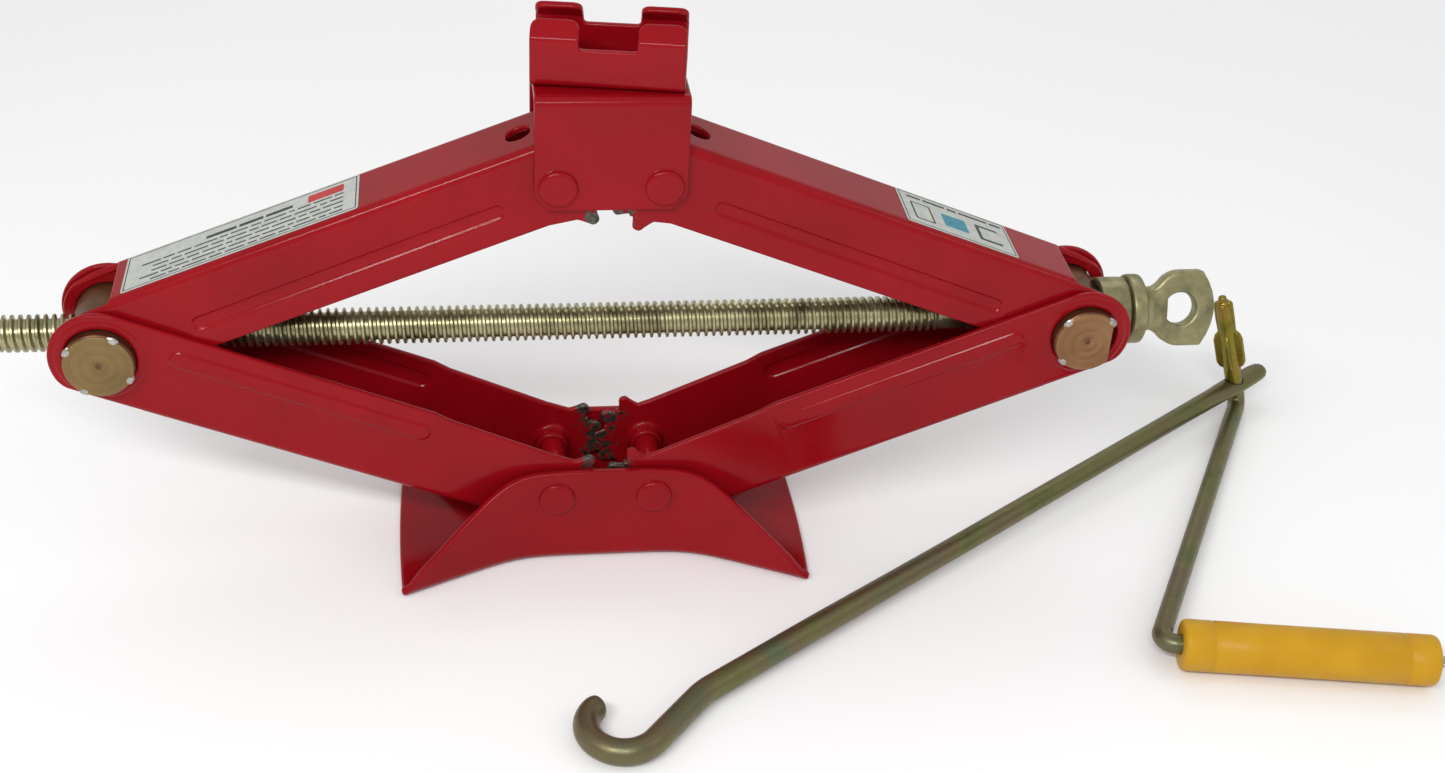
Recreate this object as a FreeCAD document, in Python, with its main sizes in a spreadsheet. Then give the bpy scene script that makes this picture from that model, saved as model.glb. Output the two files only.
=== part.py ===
"""Scissor jack, partly raised, with its folding crank handle lying beside it.

The floor is Z = 0 and the origin lies under the middle of the base. The lead screw runs along X,
the pivots run along Y, and the lift is along Z.
"""
import FreeCAD
import Part
import Sketcher
import math
import os

from FreeCAD import Placement, Rotation, Vector

SIZES = {
    # linkage
    "arm_length": 178.0,        # pivot to trunnion
    "lift_angle": 22.0,         # arms above level, degrees
    "pivot_gap": 38.0,          # between the two pivots of a gear pair
    "base_pivot_height": 30.0,
    "sheet": 2.5,
    "bend": 2.0,
    # lower arms: channels open upwards
    "lower_half_width": 19.3,
    "lower_web": 17.8,          # pivot line to the outside of the web
    "lower_lip_gear": 15.8,     # pivot line to the open edge, at the gear end
    "lower_lip": 18.6,
    "lower_lip_full": 55.0,     # where the open edge reaches its full height
    "lower_ear": 18.6,
    "lower_web_start": 4.0,     # web starts this far from the gear pivot
    "lower_web_end": 21.3,      # and stops this far short of the trunnion
    # upper arms: channels open downwards
    "upper_half_width": 16.1,
    "upper_web_gear": 16.6,
    "upper_web": 18.4,
    "upper_lip_gear": 14.4,
    "upper_lip": 12.8,
    "upper_ear": 17.5,
    "upper_web_start": 0.5,
    "upper_web_end": 12.5,
    "drain_hole": 4.7,
    "drain_place": 7.9,
    # gear teeth cut in the flange ends
    "tooth_root": 15.8,
    "tooth_foot": 14.8,
    "tooth_tip": 21.6,
    "tooth_half_foot": 3.35,
    "tooth_half_tip": 1.0,
    "tooth_step": 30.0,         # degrees between teeth
    # pins
    "rivet_shank": 5.0,
    "rivet_hole": 5.06,
    "rivet_head": 7.1,
    "rivet_head_height": 1.7,
    "rivet_chamfer": 0.9,
    "trunnion_pin": 12.75,
    "trunnion_hole": 12.8,
    "trunnion_half_length": 24.0,
    "trunnion_chamfer": 0.8,
    # base
    "base_sheet": 3.0,
    "base_half_width": 23.2,
    "base_half_length": 79.5,
    "base_end": 81.3,
    "base_corner": 45.0,
    "base_waist": 34.0,
    "base_height": 42.0,
    "base_top_half": 33.0,
    "base_foot": 77.0,
    "base_wall_slant": 1.12,    # a flared wall's thickness across, for each unit of sheet
    # head bracket
    "head_half_width": 19.0,
    "head_half_length": 27.5,
    "head_above": 34.8,
    "head_below": 9.2,
    "head_cut": 5.5,
    # saddle
    "saddle_half_width": 13.4,
    "saddle_half_length": 27.2,
    "saddle_bend_height": 18.2,
    "saddle_tab": 5.6,
    "saddle_notch_half": 10.1,
    "saddle_notch_height": 14.6,
    "saddle_turn": -8.0,
    "saddle_clear": 0.1,
    "saddle_rivet_shank": 4.0,
    "saddle_rivet_hole": 4.06,
    "saddle_rivet_head": 7.0,
    "saddle_rivet_height": 1.9,
    # lead screw
    "screw": 7.0,
    "screw_bore": 7.05,
    "screw_end": 223.0,         # free end, from the middle of the jack
    "screw_chamfer": 1.6,
    "thread_end": 131.0,
    "shank": 6.3,
    "shank_bore": 6.35,
    # thrust bearing, measured from the right trunnion's axis
    "flat": 9.3,
    "washer_outer": 11.4,
    "washer_thick": 3.6,
    "ball": 2.38,
    "ball_circle": 9.0,
    "ball_count": 10,
    "ball_clear": 0.02,
    "groove_deep": 0.5,
    "groove_half": 1.7,         # half width of the ball groove at the washer's face
    "groove_floor": 1.0,
    "shell": 12.75,
    "shell_inner": 11.6,
    "shell_start": 9.6,
    "shell_end": 21.5,
    "shell_floor": 1.3,
    # eye
    "collar": 13.7,
    "collar_start": 21.6,
    "collar_end": 30.0,
    "neck": 10.6,
    "neck_end": 36.0,
    "eye_hole_place": 44.0,
    "eye_hole": 6.5,
    "eye_end": 58.0,
    "eye_half_height": 15.0,
    "eye_thick": 6.6,
    "eye_tilt": 20.0,
    "eye_start_gap": 0.3,
    "eye_corner": 5.5,
    "collar_chamfer": 0.8,
    # handle
    "hook_rod": 4.3,
    "hook_rod_end": 21.0,
    "hook_start": 318.0,
    "hook_bend": 30.0,
    "hook_centre": 350.5,
    "hook_offset": 5.0,
    "hook_radius": 13.5,
    "hook_sweep_end": -85.0,
    "flat_half_width": 6.6,
    "flat_half_thick": 3.2,
    "flat_half_length": 15.0,
    "crank_rod": 3.8,
    "crank_hole": 4.1,
    "crank_bend": 5.0,
    "hook_hole_place": 10.6,    # along the stub, from the crank's elbow
    "wing_half": 6.3,
    "wing_thick": 2.2,
    "wing_low": 18.5,           # height of the lower wings' foot above the crank's elbow
    "wing_length": 19.0,
    "wing_top_half": 4.5,
    "wing_top_length": 16.0,
    "grip": 9.8,
    "grip_bore": 3.86,
    "grip_length": 96.0,
    "grip_round": 2.0,
    "grip_place": 8.5,          # from the crank's corner
    # plain stickers on the upper arms
    "label_thick": 0.25,
    "label_half_width": 12.8,
    "label_left_length": 92.0,
    "label_right_length": 48.0,
    "label_left_place": 69.0,
    "label_right_place": 92.0,
}
# Where the handle lies on the floor.
ELBOW = Vector(295.2, 67.0, SIZES["crank_rod"])
STUB_TIP = Vector(276.8, 67.0, 60.9)
CRANK_CORNER = Vector(203.5, -100.2, SIZES["grip"])
CRANK_END = Vector(311.5, -118.2, SIZES["grip"])
STUB_WAY = Vector(STUB_TIP - ELBOW).normalize()
HOOK_HOLE = ELBOW + STUB_WAY * SIZES["hook_hole_place"]
HOOK_HEADING = 214.16           # from the hole towards the hook, in the floor plane
HOOK_DROP = 1.45                # the rod slopes down to the hook

doc = FreeCAD.newDocument("scissor_jack")
sheet = doc.addObject("Spreadsheet::Sheet", "Sizes")
for row, (name, value) in enumerate(SIZES.items(), start=1):
    sheet.set(f"A{row}", name)
    sheet.set(f"B{row}", str(value))
    sheet.setAlias(f"B{row}", name)
doc.recompute()

subparts = []
S = "Sizes."
LONG_EDGE = 20                  # edges longer than this are bend lines or upright walls
FAR = 60                        # further out than any edge that a cut has to pass


def size(text):
    """The value of an expression over the sheet."""
    number = sheet.evalExpression(text)
    return float(getattr(number, "Value", number))


def angle(degrees):
    return math.radians(degrees)


def keep(shape_object, label):
    """Give a finished sub-part its own name and list it for export."""
    shape_object.Label = label
    subparts.append(shape_object)
    return shape_object


def bind(thing, **sizes):
    """Tie properties of an object to expressions over the sheet."""
    for name, text in sizes.items():
        thing.setExpression(name, text)


def new_body(label):
    return keep(doc.addObject("PartDesign::Body", label + "_body"), label)


def new_sketch(body, role):
    """A sketch on one of the body's own origin planes."""
    sketch = body.newObject("Sketcher::SketchObject", "sketch")
    plane = [item for item in body.Origin.OriginFeatures if item.Role == role][0]
    sketch.AttachmentSupport = (plane, [""])
    sketch.MapMode = "FlatFace"
    return sketch


def fix_point(sketch, line, end, corner):
    """Hold one end of a line at a place given by two expressions."""
    for kind, axis, text in zip(("DistanceX", "DistanceY"), (-2, -1), corner):
        place = size(text)
        if abs(place) < 1e-9:
            sketch.addConstraint(Sketcher.Constraint("PointOnObject", line, end, axis))
            continue
        spot = sketch.addConstraint(Sketcher.Constraint(kind, -1, 1, line, end, place))
        sketch.setExpression(f"Constraints[{spot}]", text)


def outline(sketch, corners):
    """A closed run of straight edges whose corners are pairs of expressions."""
    points = [Vector(size(across), size(up), 0) for across, up in corners]
    first = sketch.GeometryCount
    count = len(points)
    for index in range(count):
        sketch.addGeometry(Part.LineSegment(points[index], points[(index + 1) % count]), False)
    for index in range(count):
        following = first + (index + 1) % count
        sketch.addConstraint(Sketcher.Constraint("Coincident", first + index, 2, following, 1))
    for index, corner in enumerate(corners):
        fix_point(sketch, first + index, 1, corner)


def ring(sketch, centre, radius):
    """A circle whose centre and radius are expressions."""
    middle = Vector(size(centre[0]), size(centre[1]), 0)
    line = sketch.addGeometry(Part.Circle(middle, Vector(0, 0, 1), size(radius)), False)
    fix_point(sketch, line, 3, centre)
    spot = sketch.addConstraint(Sketcher.Constraint("Radius", line, size(radius)))
    sketch.setExpression(f"Constraints[{spot}]", radius)


def pad(body, sketch, length):
    """A pad centred on its sketch."""
    feature = body.newObject("PartDesign::Pad", "pad")
    feature.Profile = sketch
    feature.Midplane = True
    feature.setExpression("Length", length)
    doc.recompute()
    return feature


def pocket(body, sketch, length=None):
    """A cut centred on its sketch, through everything unless a length is given."""
    before = body.Shape.Volume
    feature = body.newObject("PartDesign::Pocket", "pocket")
    feature.Profile = sketch
    feature.Midplane = True
    if length is None:
        feature.Type = 1
    else:
        feature.setExpression("Length", length)
    doc.recompute()
    if not body.Shape.Volume < before - 1e-3:
        raise RuntimeError(f"{body.Label}: a pocket cut nothing")
    return feature


def round_edges(body, radius, wanted):
    """Fillet the edges of the body's shape that the test picks."""
    base = body.Tip
    names = [f"Edge{index}" for index, edge in enumerate(base.Shape.Edges, start=1) if wanted(edge)]
    feature = body.newObject("PartDesign::Fillet", "round")
    feature.Base = (base, names)
    feature.setExpression("Radius", radius)
    doc.recompute()
    return feature


def turned(label, profile, placement):
    """A body of revolution: (along, radius) expressions, turned about the local X axis."""
    body = new_body(label)
    sketch = new_sketch(body, "XY_Plane")
    outline(sketch, profile)
    feature = body.newObject("PartDesign::Revolution", "turn")
    feature.Profile = sketch
    feature.ReferenceAxis = (sketch, ["H_Axis"])
    feature.Angle = 360
    body.Placement = placement
    doc.recompute()
    return body


ARM = size(S + "arm_length")
LIFT = SIZES["lift_angle"]
HALF_GAP = SIZES["pivot_gap"] / 2
TRUNNION_X = HALF_GAP + ARM * math.cos(angle(LIFT))
TRUNNION_Z = SIZES["base_pivot_height"] + ARM * math.sin(angle(LIFT))
HEAD_Z = 2 * TRUNNION_Z - SIZES["base_pivot_height"]
HEAD_TOP = HEAD_Z + SIZES["head_above"]
ALONG_Y = Rotation(Vector(0, 0, 1), 90)
UP_Z = Rotation(Vector(0, 1, 0), -90)


# --- arms -------------------------------------------------------------------------------------
# Local frame of an arm: gear pivot at the origin, trunnion along +X, open side of the channel +Z.

def tooth(direction):
    """The four corners of one gear tooth standing out along a direction in degrees."""
    corners = []
    foot, tip = S + "tooth_foot", S + "tooth_tip"
    half_foot, half_tip = S + "tooth_half_foot", S + "tooth_half_tip"
    spots = ((foot, half_foot), (tip, half_tip), (tip, f"-{half_tip}"), (foot, f"-{half_foot}"))
    for radius, half in spots:
        across = f"{radius} * cos({direction}) - ({half}) * sin({direction})"
        up = f"{radius} * sin({direction}) + ({half}) * cos({direction})"
        corners.append((across, up))
    return corners


def arm(label, side, outer, web_line, ear, cavity_floor, web_stop, teeth, placement):
    """A channel arm with toothed flanges at the gear end and round ears at the trunnion."""
    width = f"2 * {S}{side}_half_width"
    inner = f"2 * ({S}{side}_half_width - {S}sheet)"
    length = S + "arm_length"
    body = new_body(label)
    plate = new_sketch(body, "XZ_Plane")
    outline(plate, outer)
    pad(body, plate, width)
    ends = new_sketch(body, "XZ_Plane")
    ring(ends, ("0", "0"), S + "tooth_root")
    ring(ends, (length, "0"), ear)
    pad(body, ends, width)
    gear = new_sketch(body, "XZ_Plane")
    for direction in teeth:
        outline(gear, tooth(direction))
    pad(body, gear, width)
    cavity = new_sketch(body, "XZ_Plane")
    beyond = f"{length} + {FAR}"
    web_start = f"{S}{side}_web_start"
    outline(cavity, ((f"-{FAR}", f"{FAR}"), (f"-{FAR}", f"-{FAR}"), (web_start, f"-{FAR}"),
                     (web_start, cavity_floor[0]), (web_stop, cavity_floor[1]),
                     (web_stop, f"-{FAR}"), (beyond, f"-{FAR}"), (beyond, f"{FAR}")))
    pocket(body, cavity, inner)
    holes = new_sketch(body, "XZ_Plane")
    ring(holes, ("0", "0"), S + "rivet_hole")
    ring(holes, (length, "0"), S + "trunnion_hole")
    pocket(body, holes)
    half = SIZES[f"{side}_half_width"]

    def on_bend(edge):
        """An outer edge of the web: full width, straight and on the web's outer line."""
        tips = [vertex.Point for vertex in edge.Vertexes]
        if len(tips) != 2 or abs(tips[0].x - tips[1].x) < LONG_EDGE:
            return False
        return all(abs(abs(p.y) - half) < 1e-3 and abs(p.z - web_line(p.x)) < 1e-2 for p in tips)

    round_edges(body, S + "bend", on_bend)
    body.Placement = placement
    return body


def lower_arm(label, teeth, placement):
    length = S + "arm_length"
    web = f"-{S}lower_web"
    stop = f"{length} - {S}lower_web_end"
    outer = (("0", S + "lower_lip_gear"), ("0", web), (length, web), (length, S + "lower_lip"),
             (S + "lower_lip_full", S + "lower_lip"))
    floor = f"{S}sheet - {S}lower_web"
    return arm(label, "lower", outer, lambda x: -SIZES["lower_web"], S + "lower_ear",
               (floor, floor), stop, teeth, placement)


def upper_arm(label, teeth, placement):
    length = S + "arm_length"
    stop = f"{length} - {S}upper_web_end"
    outer = (("0", S + "upper_lip_gear"), ("0", f"-{S}upper_web_gear"), (stop, f"-{S}upper_web"),
             (f"{length} - 4", f"-{S}upper_ear"), (length, S + "upper_lip"))
    rise = SIZES["upper_web"] - SIZES["upper_web_gear"]
    run = ARM - SIZES["upper_web_end"]
    start = f"{S}sheet - {S}upper_web_gear"
    end = f"{S}sheet - {S}upper_web"
    body = arm(label, "upper", outer, lambda x: -SIZES["upper_web_gear"] - rise * x / run,
               S + "upper_ear", (start, end), stop, teeth, placement)
    drain = new_sketch(body, "XY_Plane")
    ring(drain, (S + "drain_place", "0"), S + "drain_hole")
    pocket(body, drain)
    return body


# Directions of the teeth, in degrees from the arm towards the channel's open side.
LEFT_TEETH = [110 + SIZES["tooth_step"] * index for index in range(4)]
RIGHT_TEETH = [95 + SIZES["tooth_step"] * index for index in range(4)]
TURN_Y = Vector(0, 1, 0)
HALF_TURN_Z = Rotation(Vector(0, 0, 1), 180)
HALF_TURN_X = Rotation(Vector(1, 0, 0), 180)
BASE_Z = SIZES["base_pivot_height"]
lower_arm("lower_arm_left", LEFT_TEETH,
          Placement(Vector(-HALF_GAP, 0, BASE_Z), Rotation(TURN_Y, LIFT) * HALF_TURN_Z))
lower_arm("lower_arm_right", RIGHT_TEETH,
          Placement(Vector(HALF_GAP, 0, BASE_Z), Rotation(TURN_Y, -LIFT)))
LEFT_UPPER = Placement(Vector(-HALF_GAP, 0, HEAD_Z),
                       Rotation(TURN_Y, -LIFT) * HALF_TURN_Z * HALF_TURN_X)
RIGHT_UPPER = Placement(Vector(HALF_GAP, 0, HEAD_Z), Rotation(TURN_Y, LIFT) * HALF_TURN_X)
upper_arm("upper_arm_left", LEFT_TEETH, LEFT_UPPER)
upper_arm("upper_arm_right", RIGHT_TEETH, RIGHT_UPPER)


# --- base -------------------------------------------------------------------------------------

def mirrored(quarter):
    """Four-way copy of a quarter outline, as expressions, in order round the outline."""
    right = list(quarter)
    top = right + [(f"-({across})", up) for across, up in reversed(right)]
    return top + [(across, f"-({up})") for across, up in reversed(top)]


def base_plate():
    """A flat foot with two walls that flare apart towards the corners."""
    body = new_body("base_plate")
    foot = new_sketch(body, "XY_Plane")
    outline(foot, mirrored(((S + "base_end", f"{S}base_half_width * 0.6"),
                            (S + "base_half_length", S + "base_corner"),
                            (S + "base_waist", S + "base_half_width"))))
    solid = body.newObject("PartDesign::Pad", "foot")
    solid.Profile = foot
    solid.setExpression("Length", S + "base_height")
    doc.recompute()
    hollow = new_sketch(body, "XY_Plane")
    hollow.setExpression("AttachmentOffset.Base.z", S + "base_sheet")
    beyond = f"({S}base_end + {FAR})"
    slope = f"({S}base_corner - {S}base_half_width) / ({S}base_half_length - {S}base_waist)"
    wall = f"{S}base_sheet * {S}base_wall_slant"
    wide = f"{S}base_half_width - {wall} + {slope} * ({beyond} - {S}base_waist)"
    outline(hollow, mirrored(((beyond, wide),
                              (S + "base_waist", f"{S}base_half_width - {S}base_sheet"))))
    before = body.Shape.Volume
    cut = body.newObject("PartDesign::Pocket", "hollow")
    cut.Profile = hollow
    cut.Reversed = True
    cut.setExpression("Length", S + "base_height")
    doc.recompute()
    if not body.Shape.Volume < before:
        raise RuntimeError("base_plate: the hollow cut nothing")

    def flare(edge):
        """An upright edge where a straight wall starts to flare."""
        ends = [vertex.Point for vertex in edge.Vertexes]
        return (len(ends) == 2 and abs(ends[0].z - ends[1].z) > LONG_EDGE
                and abs(abs(ends[0].x) - SIZES["base_waist"]) < 1e-3)

    round_edges(body, f"{S}base_waist * 0.7", flare)
    slopes = new_sketch(body, "XZ_Plane")
    for sign in ("", "-"):
        outline(slopes, ((f"{sign}{S}base_top_half", S + "base_height"),
                         (f"{sign}{S}base_foot", S + "base_sheet"),
                         (f"{sign}{beyond}", S + "base_sheet"),
                         (f"{sign}{beyond}", f"{S}base_height + 10"),
                         (f"{sign}{S}base_top_half", f"{S}base_height + 10")))
    pocket(body, slopes)
    holes = new_sketch(body, "XZ_Plane")
    for sign in ("", "-"):
        ring(holes, (f"{sign}{S}pivot_gap / 2", S + "base_pivot_height"), S + "rivet_shank")
    pocket(body, holes)
    return body


base_plate()


def rivet(label, half_grip, height, x_place):
    """A long pin with a flat chamfered head outside each wall."""
    head = f"({S}{half_grip} + {S}rivet_head_height)"
    step = f"({head} - {S}rivet_chamfer)"
    rim = f"({S}rivet_head - {S}rivet_chamfer)"
    turned(label, (("-" + head, "0"), ("-" + head, rim), ("-" + step, S + "rivet_head"),
                   (f"-{S}{half_grip}", S + "rivet_head"), (f"-{S}{half_grip}", S + "rivet_shank"),
                   (S + half_grip, S + "rivet_shank"), (S + half_grip, S + "rivet_head"),
                   (step, S + "rivet_head"), (head, rim), (head, "0")),
           Placement(Vector(x_place, 0, height), ALONG_Y))


for side_name, sign in (("left", -1), ("right", 1)):
    rivet(f"base_rivet_{side_name}", "base_half_width", BASE_Z, sign * HALF_GAP)
    rivet(f"head_rivet_{side_name}", "head_half_width", HEAD_Z, sign * HALF_GAP)


# --- head bracket and saddle ----------------------------------------------------------------

def head_bracket():
    """An inverted channel over the upper arms; its origin is midway between its pivots."""
    body = new_body("head_bracket")
    front = new_sketch(body, "XZ_Plane")
    wide = S + "head_half_length"
    top = S + "head_above"
    low = f"-{S}head_below"
    cut_low = f"{S}head_cut - {S}head_below"
    cut_in = f"({wide} - {S}head_cut)"
    outline(front, ((wide, top), (f"-{wide}", top), (f"-{wide}", cut_low), (f"-{cut_in}", low),
                    (cut_in, low), (wide, cut_low)))
    pad(body, front, f"2 * {S}head_half_width")
    hollow = new_sketch(body, "XZ_Plane")
    under = f"{S}head_above - {S}sheet"
    outline(hollow, ((f"{wide} + {FAR}", under), (f"-{wide} - {FAR}", under),
                     (f"-{wide} - {FAR}", f"{low} - {FAR}"), (f"{wide} + {FAR}", f"{low} - {FAR}")))
    pocket(body, hollow, f"2 * ({S}head_half_width - {S}sheet)")
    holes = new_sketch(body, "XZ_Plane")
    for side_sign in ("", "-"):
        ring(holes, (f"{side_sign}{S}pivot_gap / 2", "0"), S + "rivet_shank")
    pocket(body, holes)

    def on_bend(edge):
        ends = [vertex.Point for vertex in edge.Vertexes]
        half = SIZES["head_half_width"]
        return (len(ends) == 2 and abs(ends[0].x - ends[1].x) > LONG_EDGE
                and all(abs(abs(p.y) - half) < 1e-3 and abs(p.z - SIZES["head_above"]) < 1e-3
                        for p in ends))

    round_edges(body, S + "bend", on_bend)
    centre = new_sketch(body, "XY_Plane")
    ring(centre, ("0", "0"), S + "saddle_rivet_shank")
    pocket(body, centre)
    body.Placement = Placement(Vector(0, 0, HEAD_Z), Rotation())
    return body


def saddle():
    """A turning channel on top of the bracket, with a notch and four tabs bent inwards."""
    body = new_body("saddle")
    section = new_sketch(body, "YZ_Plane")
    half = S + "saddle_half_width"
    bend_up = S + "saddle_bend_height"
    thick = S + "sheet"
    lean = S + "saddle_tab"
    quarter = ((half, "0"), (half, bend_up), (f"{half} - {lean}", f"{bend_up} + {lean}"),
               (f"{half} - {lean} - {thick} * sin(45)", f"{bend_up} + {lean} - {thick} * sin(45)"),
               (f"{half} - {thick}", f"{bend_up} - {thick} * tan(22.5)"),
               (f"{half} - {thick}", thick))
    other = [(f"-({across})", up) for across, up in reversed(quarter)]
    outline(section, list(quarter) + other)
    pad(body, section, f"2 * {S}saddle_half_length")
    notch = new_sketch(body, "XZ_Plane")
    gap = S + "saddle_notch_half"
    outline(notch, ((gap, S + "saddle_notch_height"), (gap, f"{bend_up} + {FAR}"),
                    (f"-{gap}", f"{bend_up} + {FAR}"), (f"-{gap}", S + "saddle_notch_height")))
    pocket(body, notch)

    def on_bend(edge):
        ends = [vertex.Point for vertex in edge.Vertexes]
        return (len(ends) == 2 and abs(ends[0].x - ends[1].x) > LONG_EDGE
                and all(abs(p.z) < 1e-3 for p in ends))

    round_edges(body, S + "bend", on_bend)
    centre = new_sketch(body, "XY_Plane")
    ring(centre, ("0", "0"), S + "saddle_rivet_hole")
    pocket(body, centre)
    body.Placement = Placement(Vector(0, 0, HEAD_TOP + SIZES["saddle_clear"]),
                               Rotation(Vector(0, 0, 1), SIZES["saddle_turn"]))
    return body


head_bracket()
saddle()
above = f"({S}saddle_clear * 2 + {S}sheet)"
below = f"-{S}sheet"
cap = f"({above} + {S}saddle_rivet_height)"
foot = f"({below} - {S}saddle_rivet_height)"
turned("saddle_rivet",
       ((foot, "0"), (foot, f"{S}saddle_rivet_head - {S}rivet_chamfer"),
        (f"{foot} + {S}rivet_chamfer", S + "saddle_rivet_head"), (below, S + "saddle_rivet_head"),
        (below, S + "saddle_rivet_shank"), (above, S + "saddle_rivet_shank"),
        (above, S + "saddle_rivet_head"), (f"{cap} - {S}rivet_chamfer", S + "saddle_rivet_head"),
        (cap, f"{S}saddle_rivet_head - {S}rivet_chamfer"), (cap, "0")),
       Placement(Vector(0, 0, HEAD_TOP), UP_Z))


# --- trunnions, screw and thrust bearing ------------------------------------------------------

def trunnion(label, x_place, bore, flat=None):
    """A round cross bar held in the ears of two arms, bored along X for the screw."""
    half = S + "trunnion_half_length"
    shoulder = f"({half} - {S}trunnion_chamfer)"
    rim = f"({S}trunnion_pin - {S}trunnion_chamfer)"
    body = turned(label, ((f"-{half}", "0"), (f"-{half}", rim), (f"-{shoulder}", S + "trunnion_pin"),
                          (shoulder, S + "trunnion_pin"), (half, rim), (half, "0")),
                  Placement(Vector(x_place, 0, TRUNNION_Z), ALONG_Y))
    through = new_sketch(body, "XZ_Plane")
    ring(through, ("0", "0"), bore)
    pocket(body, through)
    if flat:
        seat = new_sketch(body, "XY_Plane")
        outline(seat, ((f"-{half} - 1", f"-({flat})"), (f"-{half} - 1", f"-{FAR}"),
                       (f"{half} + 1", f"-{FAR}"), (f"{half} + 1", f"-({flat})")))
        pocket(body, seat)
    return body


trunnion("trunnion_nut", -TRUNNION_X, S + "screw_bore")
trunnion("trunnion_thrust", TRUNNION_X, S + "shank_bore", S + "flat")

RIGHT_TRUNNION = Placement(Vector(TRUNNION_X, 0, TRUNNION_Z), Rotation())
left_end = f"(-{S}screw_end - {TRUNNION_X})"
thread_stop = f"({S}thread_end - {TRUNNION_X})"
shank_stop = f"({S}neck_end - 6)"
turned("lead_screw",
       ((left_end, "0"), (left_end, f"{S}screw - {S}screw_chamfer"),
        (f"{left_end} + {S}screw_chamfer", S + "screw"), (thread_stop, S + "screw"),
        (f"{thread_stop} + 2", S + "shank"), (shank_stop, S + "shank"), (shank_stop, "0")),
       RIGHT_TRUNNION)


def washer(label, start, inner, outer, length, groove_at):
    """A flat ring with a shallow ball groove in one face."""
    stop = f"({start} + {length})"
    deep = f"({start} + {S}groove_deep)" if groove_at == "start" else f"({stop} - {S}groove_deep)"
    face = start if groove_at == "start" else stop
    corners = [(start, inner), (stop, inner), (stop, outer), (start, outer)]
    groove = [(face, f"{S}ball_circle - {S}groove_half"), (deep, f"{S}ball_circle - {S}groove_floor"),
              (deep, f"{S}ball_circle + {S}groove_floor"), (face, f"{S}ball_circle + {S}groove_half")]
    if groove_at == "start":
        corners = corners + groove[::-1]
    else:
        corners = corners[:2] + groove + corners[2:]
    turned(label, corners, RIGHT_TRUNNION)


ball_middle = f"({S}flat + {S}washer_thick - {S}groove_deep + {S}ball + {S}ball_clear)"
far_washer = f"({ball_middle} + {S}ball + {S}ball_clear - {S}groove_deep)"
washer("bearing_washer_inner", S + "flat", S + "shank_bore", S + "washer_outer",
       S + "washer_thick", "stop")
washer("bearing_washer_outer", far_washer, S + "shank", S + "washer_outer",
       f"({S}shell_end - {S}shell_floor - {far_washer})", "start")


def bearing_balls():
    """One ball, copied round the bearing's circle as separate solids."""
    balls = []
    count = int(SIZES["ball_count"])
    for index in range(count):
        turn = 2 * math.pi * index / count
        radius = SIZES["ball_circle"]
        centre = Vector(TRUNNION_X + size(ball_middle), radius * math.cos(turn),
                        TRUNNION_Z + radius * math.sin(turn))
        balls.append(Part.makeSphere(SIZES["ball"], centre))
    group = doc.addObject("Part::Feature", "balls")
    group.Shape = Part.makeCompound(balls)
    return keep(group, "bearing_balls")


bearing_balls()
turned("bearing_shell",
       ((S + "shell_start", S + "shell_inner"), (f"{S}shell_end - {S}shell_floor", S + "shell_inner"),
        (f"{S}shell_end - {S}shell_floor", S + "shank"), (S + "shell_end", S + "shank"),
        (S + "shell_end", f"{S}shell - 1"), (f"{S}shell_end - 1", S + "shell"),
        (S + "shell_start", S + "shell")),
       RIGHT_TRUNNION)


def screw_eye():
    """A collar on the shank's end, drawn down to a flat eye for the hook."""
    rim = f"{S}collar - {S}collar_chamfer"
    body = turned("screw_eye",
                  ((S + "collar_start", S + "shank"), (S + "collar_start", rim),
                   (f"{S}collar_start + {S}collar_chamfer", S + "collar"),
                   (f"{S}collar_end - {S}collar_chamfer", S + "collar"),
                   (S + "collar_end", rim), (f"{S}collar_end + 1", S + "neck"),
                   (S + "neck_end", f"{S}neck * 0.55"), (S + "neck_end", "0"),
                   (shank_stop, "0"), (shank_stop, S + "shank")),
                  RIGHT_TRUNNION)
    plate = new_sketch(body, "XY_Plane")
    tall = S + "eye_half_height"
    start = f"({S}collar_end + {S}eye_start_gap)"
    corner = f"({start} + {S}eye_corner)"
    far_corner = f"({S}eye_end - {S}eye_corner)"
    outline(plate, ((start, f"-{S}neck * 0.8"), (start, f"{S}neck * 0.8"), (corner, tall),
                    (far_corner, tall), (f"{S}eye_end - 1", f"{tall} * 0.5"),
                    (S + "eye_end", f"{tall} * 0.2"), (S + "eye_end", f"-{tall} * 0.2"),
                    (f"{S}eye_end - 1", f"-{tall} * 0.5"), (far_corner, f"-{tall}"),
                    (corner, f"-{tall}")))
    pad(body, plate, S + "eye_thick")
    hole = new_sketch(body, "XY_Plane")
    ring(hole, (S + "eye_hole_place", "0"), S + "eye_hole")
    pocket(body, hole)
    body.Placement = Placement(Vector(TRUNNION_X, 0, TRUNNION_Z),
                               Rotation(Vector(1, 0, 0), 90 - SIZES["eye_tilt"]))
    return body


screw_eye()


# --- stickers ---------------------------------------------------------------------------------

def label_plate(label, length, place, placement):
    """A thin blank sticker on the web of an upper arm, in the arm's own frame."""
    plate = keep(doc.addObject("Part::Box", "sticker"), label)
    bind(plate, Length=S + length, Width=f"2 * {S}label_half_width", Height=S + "label_thick")
    tilt = math.degrees(math.atan2(SIZES["upper_web"] - SIZES["upper_web_gear"],
                                   ARM - SIZES["upper_web_end"]))
    along = SIZES[place]
    web = SIZES["upper_web_gear"] + along * math.tan(angle(tilt))
    lift = Placement(Vector(along, -SIZES["label_half_width"], -web - SIZES["label_thick"] - 0.01),
                     Rotation(TURN_Y, tilt))
    plate.Placement = placement * lift
    return plate


label_plate("label_left", "label_left_length", "label_left_place", LEFT_UPPER)
label_plate("label_right", "label_right_length", "label_right_place", RIGHT_UPPER)


# --- handle -----------------------------------------------------------------------------------

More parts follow.
